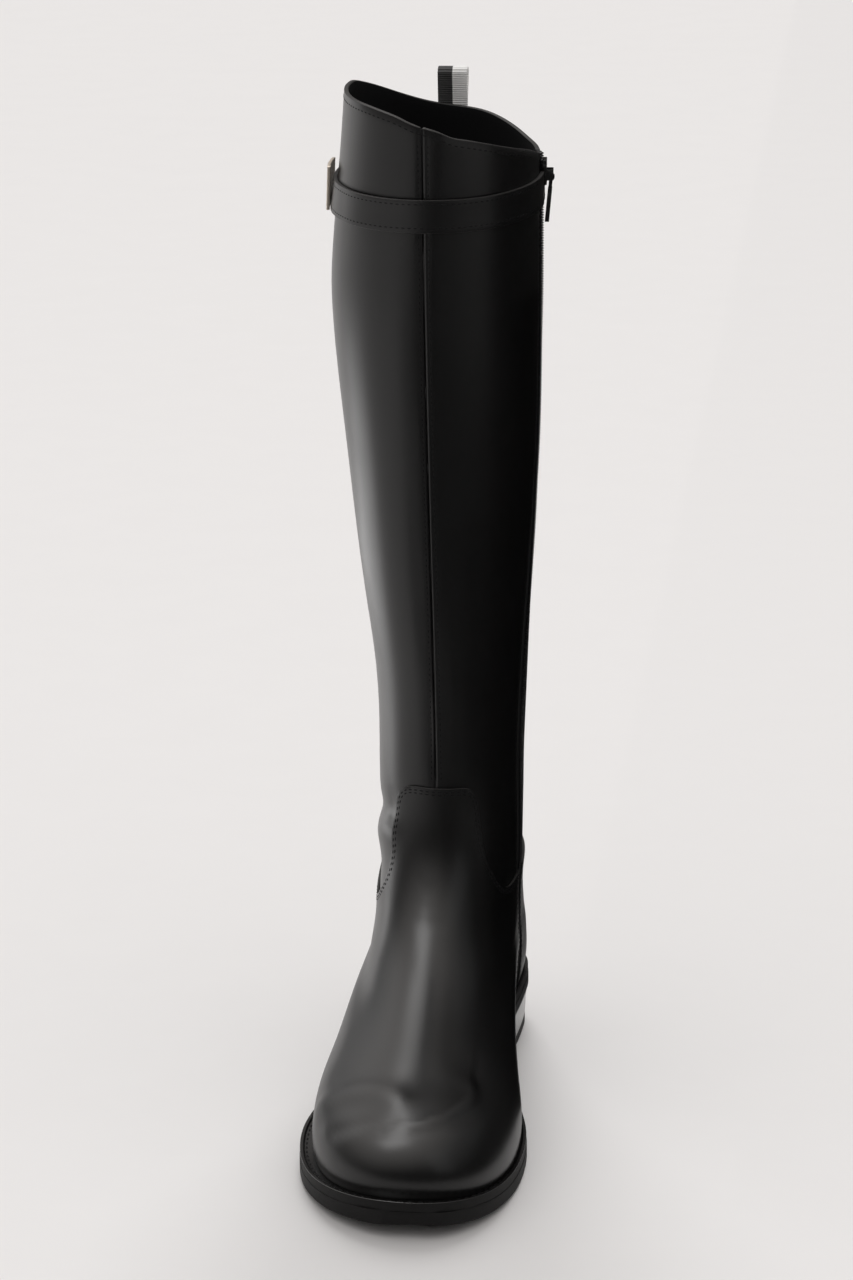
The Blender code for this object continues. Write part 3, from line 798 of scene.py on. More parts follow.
FOLDS = (
    Fold("ankle dent", -1.5, 6.5, ((-24, -64, 131), (-31, -48, 126), (-32.5, -30, 124), (-30, -8, 123))),
    Fold("ankle roll", 1.2, 7.0, ((-22, -71, 121), (-30, -52, 115), (-32.4, -32, 112), (-31, -10, 111))),
    Fold("ankle hollow", -0.6, 6.0, ((-25, -69, 104), (-31, -50, 99), (-32, -30, 96))),
    Fold(
        "toe band", 1.4, 6.5,
        ((-39, -176, 32.5), (-33.5, -180, 38), (-26, -183, 42.5), (-16, -188, 46), (-9, -192.5, 46.7),
         (-3, -197.5, 46)),
    ),
    Fold(
        "toe smile hollow", -0.7, 3.8,
        ((-30.8, -199, 31.2), (-26, -202.3, 34.3), (-18.4, -205.7, 37.7), (-10.7, -207.8, 40),
         (-4, -208.3, 41.6)),
    ),
    Fold(
        "toe smile lip", 1.2, 2.8,
        ((-3, -211, 40.8), (4, -211.3, 41), (10, -209, 41), (15.5, -203.5, 42), (19.8, -196.4, 42.6),
         (24.5, -188.1, 42.7), (26.1, -182.8, 43.2), (25.8, -176.7, 45.1)),
        slope_mm=11.0,
    ),
    Fold("toe puff", 0.5, 9.0, ((-17, -214, 33), (-5, -217.5, 36), (8, -217.5, 36.6), (18, -211, 38))),
    Fold("ball hollow", -0.7, 15.0, ((12, -184, 50), (22, -172, 49.5))),
    Fold("instep wrinkle high", -0.25, 1.8, ((-7.5, -90.5, 105), (-4, -92.6, 103.5), (-0.8, -93.1, 103.3))),
    Fold("instep wrinkle low", -0.3, 2.2, ((-7, -103, 90), (-2.7, -104.4, 89.8), (4, -103.3, 90.6))),
)


def lift_folds(points: Array) -> Array:
    """Sum of all folds at some points.

    Args:
        points: Points in metres.

    Returns:
        Rise in metres.
    """
    return sum(fold.lift(points) for fold in FOLDS)


def smooth_curve(corners: Array, steps: int) -> Array:
    """Smooth curve through corners.

    Args:
        corners: Corners, one row each.
        steps: Points from each corner to the next.

    Returns:
        Points on the curve.
    """
    padded = np.vstack((2 * corners[0] - corners[1], corners, 2 * corners[-1] - corners[-2]))
    share = np.linspace(0.0, 1.0, steps, endpoint=False)[:, None]
    parts = []
    for before, a, b, after in zip(padded, padded[1:], padded[2:], padded[3:]):
        bend = (2 * before - 5 * a + 4 * b - after) * share**2
        twist = (3 * a - before - 3 * b + after) * share**3
        parts.append(0.5 * (2 * a + (b - before) * share + bend + twist))
    return np.vstack((*parts, corners[-1:]))


@dataclass
class UpperLeather:
    """Shaft, vamp and the sewing on them."""

    leather: Material
    lining: Material
    edge_dye_and_highlight: Material
    thread_finish: Material
    seam_mm: tuple[tuple[float, float], ...] = (
        (148.0, -1.0), (213.0, -1.5), (283.0, -2.1), (374.0, -2.9), (450.0, -3.0)
    )
    seam_band_mm: float = 4.0
    seam_lap_mm: float = 0.85
    vamp_gap_mm: float = 0.3
    vamp_wall_mm: float = 1.2
    vamp_cut_mm: float = 165.0
    vamp_merge_mm: float = 0.12
    vamp_round_mm: float = 0.35
    tab_top_mm: float = 146.5
    vamp_lateral_mm: tuple[tuple[float, float], ...] = (
        (-76.2, 146.5), (-73.8, 145.4), (-71.6, 142.2), (-70.7, 137.5), (-70.8, 132.0), (-71.6, 126.0),
        (-73.0, 119.5), (-74.3, 113.0), (-74.6, 107.0), (-73.8, 101.5), (-71.4, 96.3), (-68.0, 91.8),
        (-63.5, 88.6), (-56.0, 86.4), (-46.0, 87.4), (-26.0, 92.0), (0.0, 96.0), (14.0, 97.0),
    )
    vamp_medial_mm: tuple[tuple[float, float], ...] = (
        (-76.4, 146.5), (-74.6, 144.8), (-73.6, 140.5), (-73.7, 134.0), (-74.5, 127.0), (-75.3, 120.0),
        (-75.6, 113.0), (-74.4, 107.0), (-72.2, 101.5), (-69.6, 97.6), (-65.0, 94.6), (-58.0, 93.4),
        (-49.0, 93.8), (-26.0, 96.5), (0.0, 98.0), (14.0, 98.2),
    )
    stitch_rows_mm: tuple[float, ...] = (1.5, 2.9)
    collar_row_mm: float = 3.2
    roll_mm: float = 0.9
    rim_mm: float = 0.7
    front_y: float = -0.055
    seam_start_mm: float = 4.0
    seam_rows_mm: tuple[float, ...] = (-2.0, 2.3)
    seam_shape_mm: tuple[Triple, ...] = ((-0.75, -0.3, 0.42), (-0.25, -1.2, 1.6), (0.12, 0.9, 0.6))
    seam_end: float = 0.442
    collar_low: float = 0.40
    collar_high: float = 0.47
    collar_arc_deg: tuple[float, float] = (104.0, 434.0)
    sharp_deg: float = 50.0

    def build(self) -> None:
        """Build the shaft and the vamp and sew them."""
        self.shaft = cad_copy("upper", "upper_leather")
        self.outer_tree = self.offset_tree(self.shaft)
        with editing(self.shaft):
            bpy.ops.mesh.remove_doubles(threshold=self.seam_lap_mm * MM)
        crease_sharp_edges(self.shaft, self.sharp_deg)
        subdivide_fitted(self.shaft)
        bevel(self.shaft, self.rim_mm, self.sharp_deg)
        self.smooth_tree = surface_tree(self.shaft)
        self.edge = self.vamp_edge()
        self.vamp = self.make_vamp()
        self.refine_seam()
        self.shape_shaft()
        self.line_inside()
        dress(self.shaft, (self.leather, self.lining, self.edge_dye_and_highlight), ("upper",))
        dress(self.vamp, (self.leather, self.edge_dye_and_highlight), ("vamp",), smooth_deg=50.0)
        self.tree = surface_tree(self.shaft, self.vamp)
        self.sew_collar()
        self.sew_seam()
        self.sew_vamp()

    def outward(self, piece: Piece) -> Array:
        """Find which vertices lie on the outer wall.

        Args:
            piece: Copy of the shaft.

        Returns:
            1 on the outer wall and -1 on the inner wall, for each vertex.
        """
        tree = surface_tree(piece)
        sides = np.ones(len(piece.data.vertices))
        for i, (point, normal) in enumerate(zip(get_points(piece), get_normals(piece))):
            start = Vector(point) + Vector(normal) * 0.2 * MM
            if tree.ray_cast(start, Vector(normal), 0.25)[0] is not None:
                sides[i] = -1.0
        return sides

    def offset_tree(self, piece: Piece) -> BVHTree:
        """Search tree of the face that the vamp's outside follows.

        Args:
            piece: Copy of the upper's solid.

        Returns:
            Search tree of the solid, moved out by the vamp's gap and wall.
        """
        thick = (self.vamp_gap_mm + self.vamp_wall_mm) * MM
        moved = get_points(piece) + get_normals(piece) * thick
        faces = [list(polygon.vertices) for polygon in piece.data.polygons]
        return BVHTree.FromPolygons(moved.tolist(), faces)

    def on_skin(self, line: Line) -> Line:
        """Move a line to the smooth skin.

        Args:
            line: Line near the skin.

        Returns:
            The nearest line on the skin.
        """
        near = [self.smooth_tree.find_nearest(Vector(point))[:2] for point in line.points]
        return Line(np.array([place for place, _ in near]), np.array([normal for _, normal in near]))

    def vamp_edge(self) -> Line:
        """Find the upper edge of the vamp on the smooth shaft.

        Returns:
            Closed line round the boot, from the middle of the tab.
        """
        chains = {}
        for side, rows in ((Side.LATERAL, self.vamp_lateral_mm), (Side.MEDIAL, self.vamp_medial_mm)):
            curve = smooth_curve(np.array(rows) * MM, 10)
            start = np.column_stack((np.full(len(curve), side.value * 0.1), curve))
            chains[side] = self.on_skin(cast_line(self.outer_tree, start, (-side.value, 0.0, 0.0), 0.1))
        lateral = chains[Side.LATERAL]
        medial = chains[Side.MEDIAL]
        count = 22
        front_x = np.linspace(medial.points[0, 0], lateral.points[0, 0], count + 2)[1:-1]
        rear = np.linspace(lateral.points[-1], medial.points[-1], count + 2)[1:-1]
        starts = np.column_stack((front_x, np.full(count, -OUTSIDE), np.full(count, self.tab_top_mm * MM)))
        front = cast_line(self.smooth_tree, starts, (0.0, 1.0, 0.0), 0.2)
        starts = np.column_stack((rear[:, 0], np.full(count, 0.08), rear[:, 2]))
        back = cast_line(self.smooth_tree, starts, (0.0, -1.0, 0.0), 0.1)
        order = (front, lateral, back, Line(medial.points[::-1], medial.normals[::-1]))
        points = np.vstack([chain.points for chain in order])
        normals = np.vstack([chain.normals for chain in order])
        closed = Line(np.vstack((points, points[:1])), np.vstack((normals, normals[:1])))
        place, _, up = closed.spaced(1.0 * MM)
        for _ in range(3):
            place = (np.roll(place, 1, axis=0) + 2.0 * place + np.roll(place, -1, axis=0)) / 4.0
        return Line(np.vstack((place, place[:1])), np.vstack((up, up[:1])))

    def above_edge(self, points: Array) -> Array:
        """Signed distance of points above the edge of the vamp.

        Args:
            points: Points near the skin.

        Returns:
            Distance, below zero on the vamp.
        """
        line = self.edge.points[:-1]
        along = np.roll(line, -1, axis=0) - np.roll(line, 1, axis=0)
        upward = unit(np.cross(self.edge.normals[:-1], along))
        upward *= np.sign(upward[0, 2])
        signed = []
        for part in np.array_split(points, len(points) // 4000 + 1):
            near = np.linalg.norm(part[:, None] - line[None], axis=2).argmin(axis=1)
            signed.append(((part - line[near]) * upward[near]).sum(axis=1))
        return np.concatenate(signed)

    def make_vamp(self) -> Piece:
        """Cut the vamp out of the shaft's smooth outer face and give it its wall.

        Returns:
            The vamp.
        """
        piece = put("vamp_leather", self.shaft.data.copy())
        for _ in range(2):
            piece.data.materials.append(None)
        self.cut_vamp(piece)
        points = get_points(piece)
        rise = self.vamp_gap_mm * MM + lift_folds(points)
        set_points(piece, points + get_normals(piece) * rise[:, None])
        # The rim of the wall takes the second material: edge dye, lightened as a painted highlight along
        # the cut edge.
        apply_modifier(
            piece, "SOLIDIFY", thickness=self.vamp_wall_mm * MM, offset=1.0, use_even_offset=False,
            material_offset_rim=1,
        )
        bevel(piece, self.vamp_round_mm, 55.0, 2)
        return piece

    def cut_vamp(self, piece: Piece) -> None:
        """Leave only the outer face below the edge of the vamp.

        Args:
            piece: Copy of the smooth shaft.
        """
        sides = self.outward(piece)
        top = self.vamp_cut_mm * MM
        work = bmesh.new()
        work.from_mesh(piece.data)
        work.verts.ensure_lookup_table()
        inner = [v for v in work.verts if sides[v.index] < 0.0 or v.co.z > top]
        bmesh.ops.delete(work, geom=inner, context="VERTS")
        work.verts.index_update()
        heights = self.above_edge(np.array([v.co for v in work.verts]))
        level = dict(zip(work.verts, heights))
        for edge in list(work.edges):
            a, b = edge.verts
            if level[a] * level[b] < 0.0:
                share = level[a] / (level[a] - level[b])
                _, made = bmesh.utils.edge_split(edge, a, share)
                level[made] = 0.0
        for face in list(work.faces):
            on_line = [v for v in face.verts if level[v] == 0.0]
            if len(on_line) == 2:
                try:
                    bmesh.utils.face_split(face, *on_line)
                except ValueError:
                    continue
        spare = [f for f in work.faces if sum(level[v] for v in f.verts) > 0.0]
        bmesh.ops.delete(work, geom=spare, context="FACES")
        bmesh.ops.remove_doubles(work, verts=work.verts, dist=self.vamp_merge_mm * MM)
        work.to_mesh(piece.data)
        work.free()

    def seam_x(self, z: Array) -> Array:
        """Place of the front seam across the shin.

        Args:
            z: Heights.

        Returns:
            X of the seam at each height.
        """
        rows = np.array(self.seam_mm) * MM
        return np.interp(z, rows[:, 0], rows[:, 1])

    def refine_seam(self) -> None:
        """Split the faces beside the front seam so that it can be shaped."""
        points = get_points(self.shaft)
        sides = self.outward(self.shaft)
        band = np.abs(points[:, 0] - self.seam_x(points[:, 2])) < self.seam_band_mm * MM
        band &= points[:, 2] > (self.tab_top_mm - self.seam_start_mm) * MM
        band &= (points[:, 1] < self.front_y) & (sides > 0.0)
        mesh = self.shaft.data
        for part in (mesh.vertices, mesh.edges, mesh.polygons):
            part.foreach_set("select", np.zeros(len(part), dtype=bool))
        for edge in mesh.edges:
            a, b = edge.vertices
            level = abs(points[a, 2] - points[b, 2]) < 0.4 * np.linalg.norm(points[a] - points[b])
            edge.select = bool(band[a] and band[b] and level)
        activate(self.shaft)
        bpy.context.tool_settings.mesh_select_mode = (False, True, False)
        bpy.ops.object.mode_set(mode="EDIT")
        bpy.ops.mesh.subdivide(number_cuts=5)
        bpy.ops.object.mode_set(mode="OBJECT")
        bpy.context.tool_settings.mesh_select_mode = (True, False, False)

    def shape_shaft(self) -> None:
        """Press the folds and the front seam into the shaft."""
        points = get_points(self.shaft)
        sides = self.outward(self.shaft)
        lift = lift_folds(points)
        from_seam = (points[:, 0] - self.seam_x(points[:, 2])) / MM
        above = np.clip((points[:, 2] / MM - self.tab_top_mm) / self.seam_start_mm, 0.0, 1.0)
        front = (points[:, 1] < self.front_y) & (sides > 0.0)
        for rise, middle, width in self.seam_shape_mm:
            lift += rise * MM * np.exp(-(((from_seam - middle) / width) ** 2)) * above * front
        set_points(self.shaft, points + get_normals(self.shaft) * (lift * sides)[:, None])

    def line_inside(self) -> None:
        """Give the inner wall its lining, up to the rolled edge of the collar."""
        sides = self.outward(self.shaft)
        angles = np.radians(np.arange(0.0, 361.0, 3.0))
        edge = np.array([self.collar_height(self.smooth_tree, a) for a in angles])
        for polygon in self.shaft.data.polygons:
            x, y, z = polygon.center
            away = Vector((x - SHAFT_X, y - SHAFT_Y, 0.0))
            index = int(sum(sides[i] for i in polygon.vertices) < 0.0)
            if z > self.collar_low:
                angle = math.atan2(away.x, -away.y) % math.tau
                below = float(np.interp(angle, angles, edge)) - z
                index = int(polygon.normal.dot(away.normalized()) < 0.0)
                # Faces just below the collar edge take the edge material: dye, lightened as a painted
                # highlight along the roll.
                if below < self.roll_mm * MM:
                    index = 2
            polygon.material_index = index

    def collar_height(self, tree: BVHTree, angle: float) -> float:
        """Height of the collar edge in one direction from the shaft's axis.

        Args:
            tree: Search tree of the shaft.
            angle: Direction, from the front towards the zip side.

        Returns:
            Height of the edge.
        """
        way = Vector((math.sin(angle), -math.cos(angle), 0.0))
        low = self.collar_low
        high = self.collar_high
        for _ in range(14):
            middle = (low + high) / 2.0
            start = Vector((SHAFT_X, SHAFT_Y, middle)) + way * OUTSIDE
            place = tree.ray_cast(start, -way, 0.13)[0]
            if place is None:
                high = middle
            else:
                low = middle
        return low

    def sew_collar(self) -> None:
        """Sew the row along the collar, from one side of the zip to the other."""
        angles = np.radians(np.linspace(*self.collar_arc_deg, 240))
        heights = np.array([self.collar_height(self.tree, a) for a in angles]) - self.collar_row_mm * MM
        row = line_round_shaft(self.tree, angles, heights)
        Thread().sew("collar_stitches", [row], self.thread_finish)

    def sew_seam(self) -> None:
        """Sew a row on each side of the front seam."""
        z = np.linspace(self.tab_top_mm * MM + 0.003, self.seam_end, 200)
        rows = []
        for away in self.seam_rows_mm:
            starts = np.column_stack((self.seam_x(z) + away * MM, np.full_like(z, -OUTSIDE), z))
            rows.append(cast_line(self.tree, starts, (0.0, 1.0, 0.0), 0.12))
        thread = Thread(length_mm=1.9, radius_mm=0.24, sunk_mm=0.1)
        thread.sew("seam_stitches", rows, self.thread_finish)

    def sew_vamp(self) -> None:
        """Sew the rows along the edge of the vamp."""
        line = self.edge.points
        inward = unit(np.cross(np.gradient(line, axis=0), self.edge.normals))
        inward *= -np.sign(inward[0, 2])
        rows = []
        for away in self.stitch_rows_mm:
            starts = line + inward * away * MM + self.edge.normals * 0.01
            rows.append(cast_line(self.tree, starts, -self.edge.normals, 0.02))
        Thread().sew("vamp_stitches", rows, self.thread_finish)


@dataclass
class ZipFastener:
    """Coil zip with its slider and hinged pull."""

    tape: Material
    nylon: Material
    enamel: Material
    thread_finish: Material
    upper: UpperLeather
    pitch_mm: float = 1.15
    tooth_length_mm: float = 3.1
    tooth_radius_mm: float = 0.8
    tooth_width: float = 0.36
    tooth_rings: int = 5
    coil_half_mm: float = 1.15
    sunk_mm: float = 0.12
    row_mm: float = 6.4
    row_pitch_mm: float = 3.0
    round_mm: float = 0.4
    ring_gap: float = 0.004

    def build(self) -> None:
        """Build the tape, the coil, the slider, the pull and the sewing."""
        self.stations()
        tape = smooth_copy("zip", "zip_tape", 30.0, 0.6)
        dress(tape, (self.tape,), ("zip",))
        dress(self.teeth(), (self.nylon,))
        for node, body in (("zip_slider", Body.BOOT), ("zip_pull", Body.PULL)):
            piece = cad_copy(node, node + "_enamel")
            bevel(piece, self.round_mm, 40.0)
            dress(piece, (self.enamel,), (node,), body)
        self.sew()

    def stations(self) -> None:
        """Read the zip's middle line and directions from its solid."""
        points = np.unique(np.round(get_points(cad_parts["zip"]), 6), axis=0)
        points = points[np.argsort(points[:, 2])]
        breaks = np.flatnonzero(np.diff(points[:, 2]) > self.ring_gap) + 1
        rings = np.split(points, breaks)
        middle = np.array([ring.mean(axis=0) for ring in rings])
        up = unit(np.gradient(middle, axis=0))
        across = np.array([ring[ring[:, 1].argmax()] - ring[ring[:, 1].argmin()] for ring in rings])
        across -= up * (across * up).sum(axis=1, keepdims=True)
        out = np.cross(unit(across), up)
        out *= np.sign(out[:, :1])
        top = np.array([((ring - m) @ o).max() for ring, m, o in zip(rings, middle, out)])
        self.coil = Line(smooth_curve(middle + out * top[:, None], 12), smooth_curve(out, 12))

    def teeth(self) -> Piece:
        """Model the two rows of coil teeth.

        Returns:
            All the teeth as one piece.
        """
        place, along, up = self.coil.spaced(self.pitch_mm * MM)
        across = np.cross(up, along)
        width = self.tooth_width * self.pitch_mm * MM
        model = grain(self.tooth_length_mm * MM, width, self.tooth_radius_mm * MM, self.tooth_rings)
        half = np.diff(place, axis=0, append=2.0 * place[-1:] - place[-2:-1]) / 2.0
        shift = across * self.coil_half_mm * MM
        sunk = up * self.sunk_mm * MM
        both = np.vstack((place - shift - sunk, place + half + shift - sunk))
        return copies_along("zip_teeth", model, both, np.vstack((across, across)), np.vstack((up, up)))

    def sew(self) -> None:
        """Sew the leather to the tape on both sides of the coil."""
        place, along, up = self.coil.spaced(self.row_pitch_mm * MM)
        across = np.cross(up, along)
        rows = []
        for sign in (-1.0, 1.0):
            starts = place + across * sign * self.row_mm * MM + up * 0.012
            rows.append(cast_line(self.upper.tree, starts, -up, 0.025))
        thread = Thread(length_mm=2.0, radius_mm=0.26)
        thread.sew("zip_stitches", rows, self.thread_finish, Slot.ZIP)


@dataclass
class StrapBand:
    """Leather strap round the top with its metal plate."""

    leather: Material
    edge_dye_and_highlight: Material
    nickel: Material
    thread_finish: Material
    row_mm: float = 2.0
    round_mm: float = 0.35
    row_arc_deg: tuple[float, float] = (98.0, 439.0)
    edge_tilt: float = 0.6

    def build(self) -> None:
        """Build the strap, its edge stitching and the plate."""
        strap = smooth_copy("strap", "strap_leather", 50.0, 0.75, 3)
        # The strap's top and bottom edges take the edge material: dye, lightened as a painted highlight
        # where the edges catch the light.
        for polygon in strap.data.polygons:
            polygon.material_index = int(abs(polygon.normal.z) > self.edge_tilt)
        dress(strap, (self.leather, self.edge_dye_and_highlight), ("strap",))
        low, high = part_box("strap")
        tree = surface_tree(strap)
        angles = np.radians(np.linspace(*self.row_arc_deg, 260))
        heights = (low.z + self.row_mm * MM, high.z - self.row_mm * MM)
        rows = [line_round_shaft(tree, angles, z) for z in heights]
        Thread(length_mm=2.0, radius_mm=0.28).sew("strap_stitches", rows, self.thread_finish)
        plate = cad_copy("strap_plate", "strap_plate_nickel")
        bevel(plate, self.round_mm, 40.0)
        dress(plate, (self.nickel,), ("strap_plate",))


@dataclass
class SoleUnit:
    """Outsole, welt, heel, lift and insole."""

    rubber: Material
    wax: Material
    lacquer: Material
    insole: Material
    thread_finish: Material
    welt_row_mm: float = 3.2
    press_mm: float = 0.8
    round_mm: float = 0.5
    sharp_deg: float = 32.0
    top_tilt: float = 0.1
    wall_mm: float = 3.0
    inset: Triple = (0.995, 0.998, 1.0)

    def build(self) -> None:
        """Build every layer of the sole and the welt's stitching."""
        outsole = self.layer("outsole", "outsole_rubber", (self.rubber,), Slot.RUBBER)
        welt = self.layer("welt", "welt_strip", (self.rubber, self.wax), Slot.RUBBER, outsole)
        self.layer("heel", "heel_block", (self.lacquer,), Slot.LACQUER)
        self.layer("heel_lift", "heel_lift_rubber", (self.rubber,), Slot.RUBBER)
        self.layer("insole", "insole_cover", (self.insole,), Slot.INSOLE)
        self.sew_welt(welt)

    def layer(
        self, node: str, name: str, materials: Sequence[Material], slot: Slot,
        bed: Piece | None = None,
    ) -> Piece:
        """Round one layer of the sole and soften its edges.

        Args:
            node: Node that the layer stands for.
            name: Name of the new piece.
            materials: Finish of the wall and, if it differs, of the top.
            slot: Not used.
            bed: Layer below, which the underside is pressed onto.

        Returns:
            The finished layer.
        """
        piece = smooth_copy(node, name, self.sharp_deg)
        if bed is not None:
            self.settle(piece, bed)
        bevel(piece, self.round_mm, 35.0)
        if len(materials) > 1:
            for polygon in piece.data.polygons:
                polygon.material_index = int(polygon.normal.z > self.top_tilt)
        dress(piece, materials, (node,))
        return piece

    def settle(self, piece: Piece, bed: Piece) -> None:
        """Press the underside of a layer onto the layer below it.

        Args:
            piece: Upper layer.
            bed: Finished lower layer.
        """
        tree = surface_tree(bed)
        points = get_points(piece)
        for point in points:
            start = Vector(point * self.inset) + Vector((0.0, 0.0, 0.05 * MM))
            hit, _, _, gap = tree.ray_cast(start, Vector((0.0, 0.0, -1.0)), self.press_mm * MM)
            if hit is not None:
                point[2] -= gap
        set_points(piece, points)

    def outline(self) -> Array:
        """Read the outsole's outline from its solid.

        Returns:
            Closed row of X and Y, from the back along the lateral side.
        """
        points = np.round(get_points(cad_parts["outsole"]), 6)
        rows: dict[tuple[float, float], list[float]] = {}
        for x, y, z in points:
            rows.setdefault((x, y), []).append(z)
        walls = np.array([place for place, z in rows.items() if max(z) - min(z) > self.wall_mm * MM])
        lateral = walls[walls[:, 0] < 0.0]
        medial = walls[walls[:, 0] >= 0.0]
        lateral = lateral[np.argsort(-lateral[:, 1])]
        medial = medial[np.argsort(medial[:, 1])]
        return smooth_curve(np.vstack((lateral, medial, lateral[:1])), 8)

    def sew_welt(self, welt: Piece) -> None:
        """Sew the stitches that show beside the welt's lip.

        Args:
            welt: Finished welt.
        """
        ring = self.outline()
        along = np.gradient(ring, axis=0)
        inward = unit(np.column_stack((along[:, 1], -along[:, 0])))
        inward *= np.sign((ring.mean(axis=0) - ring[0]) @ inward[0])
        ring = ring + inward * self.welt_row_mm * MM
        starts = np.column_stack((ring, np.full(len(ring), 0.06)))
        line = cast_line(surface_tree(welt), starts, (0.0, 0.0, -1.0), 0.06)
        thread = Thread(length_mm=3.4, gap_mm=1.0, radius_mm=0.5, sunk_mm=0.1)
        thread.sew("welt_stitches", [line], self.thread_finish, Slot.RUBBER)


@dataclass
class PullLoop:
    """Ribbon loop at the back of the collar."""

    def build(self) -> None:
        """Build the loop in two-tone ribbon."""
        low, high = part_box("pull_loop")
        ribbon = TwoToneRibbon(
            "Grosgrain ribbon", "#2c2b2b", "#fbfaf8", 0.75, 1.0, 0.2,
            split_x=(low.x + high.x) / 2.0, sheen=0.1,
        )
        piece = smooth_copy("pull_loop", "pull_loop_ribbon", 50.0, 0.9)
        dress(piece, (ribbon.material(),), ("pull_loop",))


@dataclass
class Studio:
    """Pale floor, soft light and the camera at the photograph's angle."""

    camera_place: Triple = (0.2011, -1.6503, 0.732)
    heading_deg: float = 5.5
    tilt_deg: float = 18.0
    aim_deg: float = 1.857
    lens_mm: float = 105.0
    sensor_mm: float = 36.0
    dome_way: Triple = (-0.3, 0.0, 0.954)
    dome: float = 1.4
    back_way: Triple = (0.05, -0.66, -0.75)
    back_power: float = 1.83
    back_spread_deg: float = 32.0
    room_low: float = 0.1
    room_high: float = 0.85
    lit: Triple = (0.0, -0.08, 0.15)

    def build(self) -> None:
        """Build the floor, the light and the camera."""
        self.lay_floor()
        self.light_room()
        self.hang_lights()
        self.put_up_flags()
        self.place_camera()

    def lay_floor(self) -> None:
        """Lay a wide matt floor."""
        bpy.ops.object.select_all(action="DESELECT")
        bpy.ops.mesh.primitive_plane_add(size=24.0)
        floor = bpy.context.active_object
        floor.name = "studio_floor"
        paper = Finish("Backdrop paper", "#e9e7e6", "#e6e4e3", 0.8, 1.2, 0.02, specular=0.1)
        floor.data.materials.append(paper.material())

    def light_room(self) -> None:
        """Set the soft room light, which reflections see as a dome overhead."""
        world = bpy.data.worlds.new("Studio")
        world.use_nodes = True
        bpy.context.scene.world = world
        tree = world.node_tree
        pale = add_node(tree, "ShaderNodeBackground", {"Color": linear("#eae8e6"), "Strength": 1.0})
        way = add_node(tree, "ShaderNodeTexCoord").outputs["Generated"]
        height = add_node(tree, "ShaderNodeSeparateXYZ", {0: way}).outputs[2]
        rise = {"Value": height, "To Min": self.room_low, "To Max": self.room_high}
        soft = add_node(tree, "ShaderNodeMapRange", rise).outputs[0]
        room = tree.nodes["Background"]
        room.inputs["Color"].default_value = linear("#fffdfc")
        tree.links.new(soft, room.inputs["Strength"])
        toward = {0: way, 1: self.dome_way}
        high = add_node(tree, "ShaderNodeVectorMath", toward, {"operation": "DOT_PRODUCT"}).outputs["Value"]
        rise = {"Value": high, "From Min": 0.3, "From Max": 0.95, "To Min": 0.04, "To Max": self.dome}
        glow = add_node(tree, "ShaderNodeMapRange", rise, {"interpolation_type": "SMOOTHSTEP"}).outputs[0]
        dome = add_node(tree, "ShaderNodeBackground", {"Color": linear("#fffaf6"), "Strength": glow})
        path = add_node(tree, "ShaderNodeLightPath")
        views = {0: path.outputs["Is Camera Ray"], 1: room.outputs[0], 2: pale.outputs[0]}
        seen = add_node(tree, "ShaderNodeMixShader", views)
        views = {0: path.outputs["Is Glossy Ray"], 1: seen.outputs[0], 2: dome.outputs[0]}
        mix = add_node(tree, "ShaderNodeMixShader", views)
        tree.links.new(mix.outputs[0], tree.nodes["World Output"].inputs["Surface"])

    def hang_lights(self) -> None:
        """Hang the softboxes round the boot and the light behind it."""
        self.softbox("top_softbox", (-0.72, -0.44, 1.8), self.lit, (0.7, 0.9), 8.4)
        self.softbox("back_softbox", (-0.36, 0.44, 1.8), self.lit, (1.0, 0.9), 8.0)
        self.softbox("low_left_softbox", (-1.6, 1.2, 0.9), self.lit, (1.4, 1.4), 3.7)
        self.softbox("right_softbox", (1.5, 0.3, 1.3), self.lit, (1.6, 1.0), 1.5)
        self.softbox("front_right_softbox", (1.0, -0.9, 1.0), self.lit, (1.0, 1.0), 1.4)
        self.softbox("floor_glow", (-0.72, 0.32, 0.004), (-0.72, 0.32, 1.0), (0.62, 0.5), 1.6)
        self.back_light()

    def put_up_flags(self) -> None:
        """Put up the dark cards that the leather reflects."""
        self.flag("front_flag", "#464646", (0.8, -4.2, 0.002), (2.4, 7.7))
        self.flag("right_flag", "#050505", (4.0, 2.75, 0.003), (7.9, 5.7))
        self.flag("corner_flag", "#1a1a1a", (1.17, -0.26, 0.003), (2.06, 0.32))
        self.flag("shaft_flag", "#050505", (0.1, 0.0, 0.185), (0.1, 0.36), True)

    def back_light(self) -> None:
        """Light the floor from behind, so that the shadow falls towards the camera."""
        data = bpy.data.lights.new("back_light", "SUN")
        data.energy = self.back_power
        data.angle = math.radians(self.back_spread_deg)
        light = put("back_light", data)
        light.visible_glossy = False
        light.rotation_euler = Vector(self.back_way).to_track_quat("-Z", "Y").to_euler()

    def flag(
        self, name: str, colour: str, place: Triple, size: tuple[float, float],
        upright: bool = False,
    ) -> None:
        """Put up a dark card that only shows in reflections.

        Args:
            name: Name of the card.
            colour: Colour of its felt.
            place: Middle of the card.
            size: Width and length.
            upright: Whether it stands across the boot instead of lying on the floor.
        """
        bpy.ops.object.select_all(action="DESELECT")
        bpy.ops.mesh.primitive_plane_add(size=1.0)
        card = bpy.context.active_object
        card.name = name
        flat = get_points(card) * np.array((*size, 1.0))
        set_points(card, (flat[:, [0, 2, 1]] if upright else flat) + np.array(place))
        felt = Finish("Flag felt " + name, colour, colour, 0.9, 2.0, 0.05, specular=0.05)
        card.data.materials.append(felt.material())
        card.visible_camera = False
        card.visible_diffuse = False
        card.visible_shadow = False

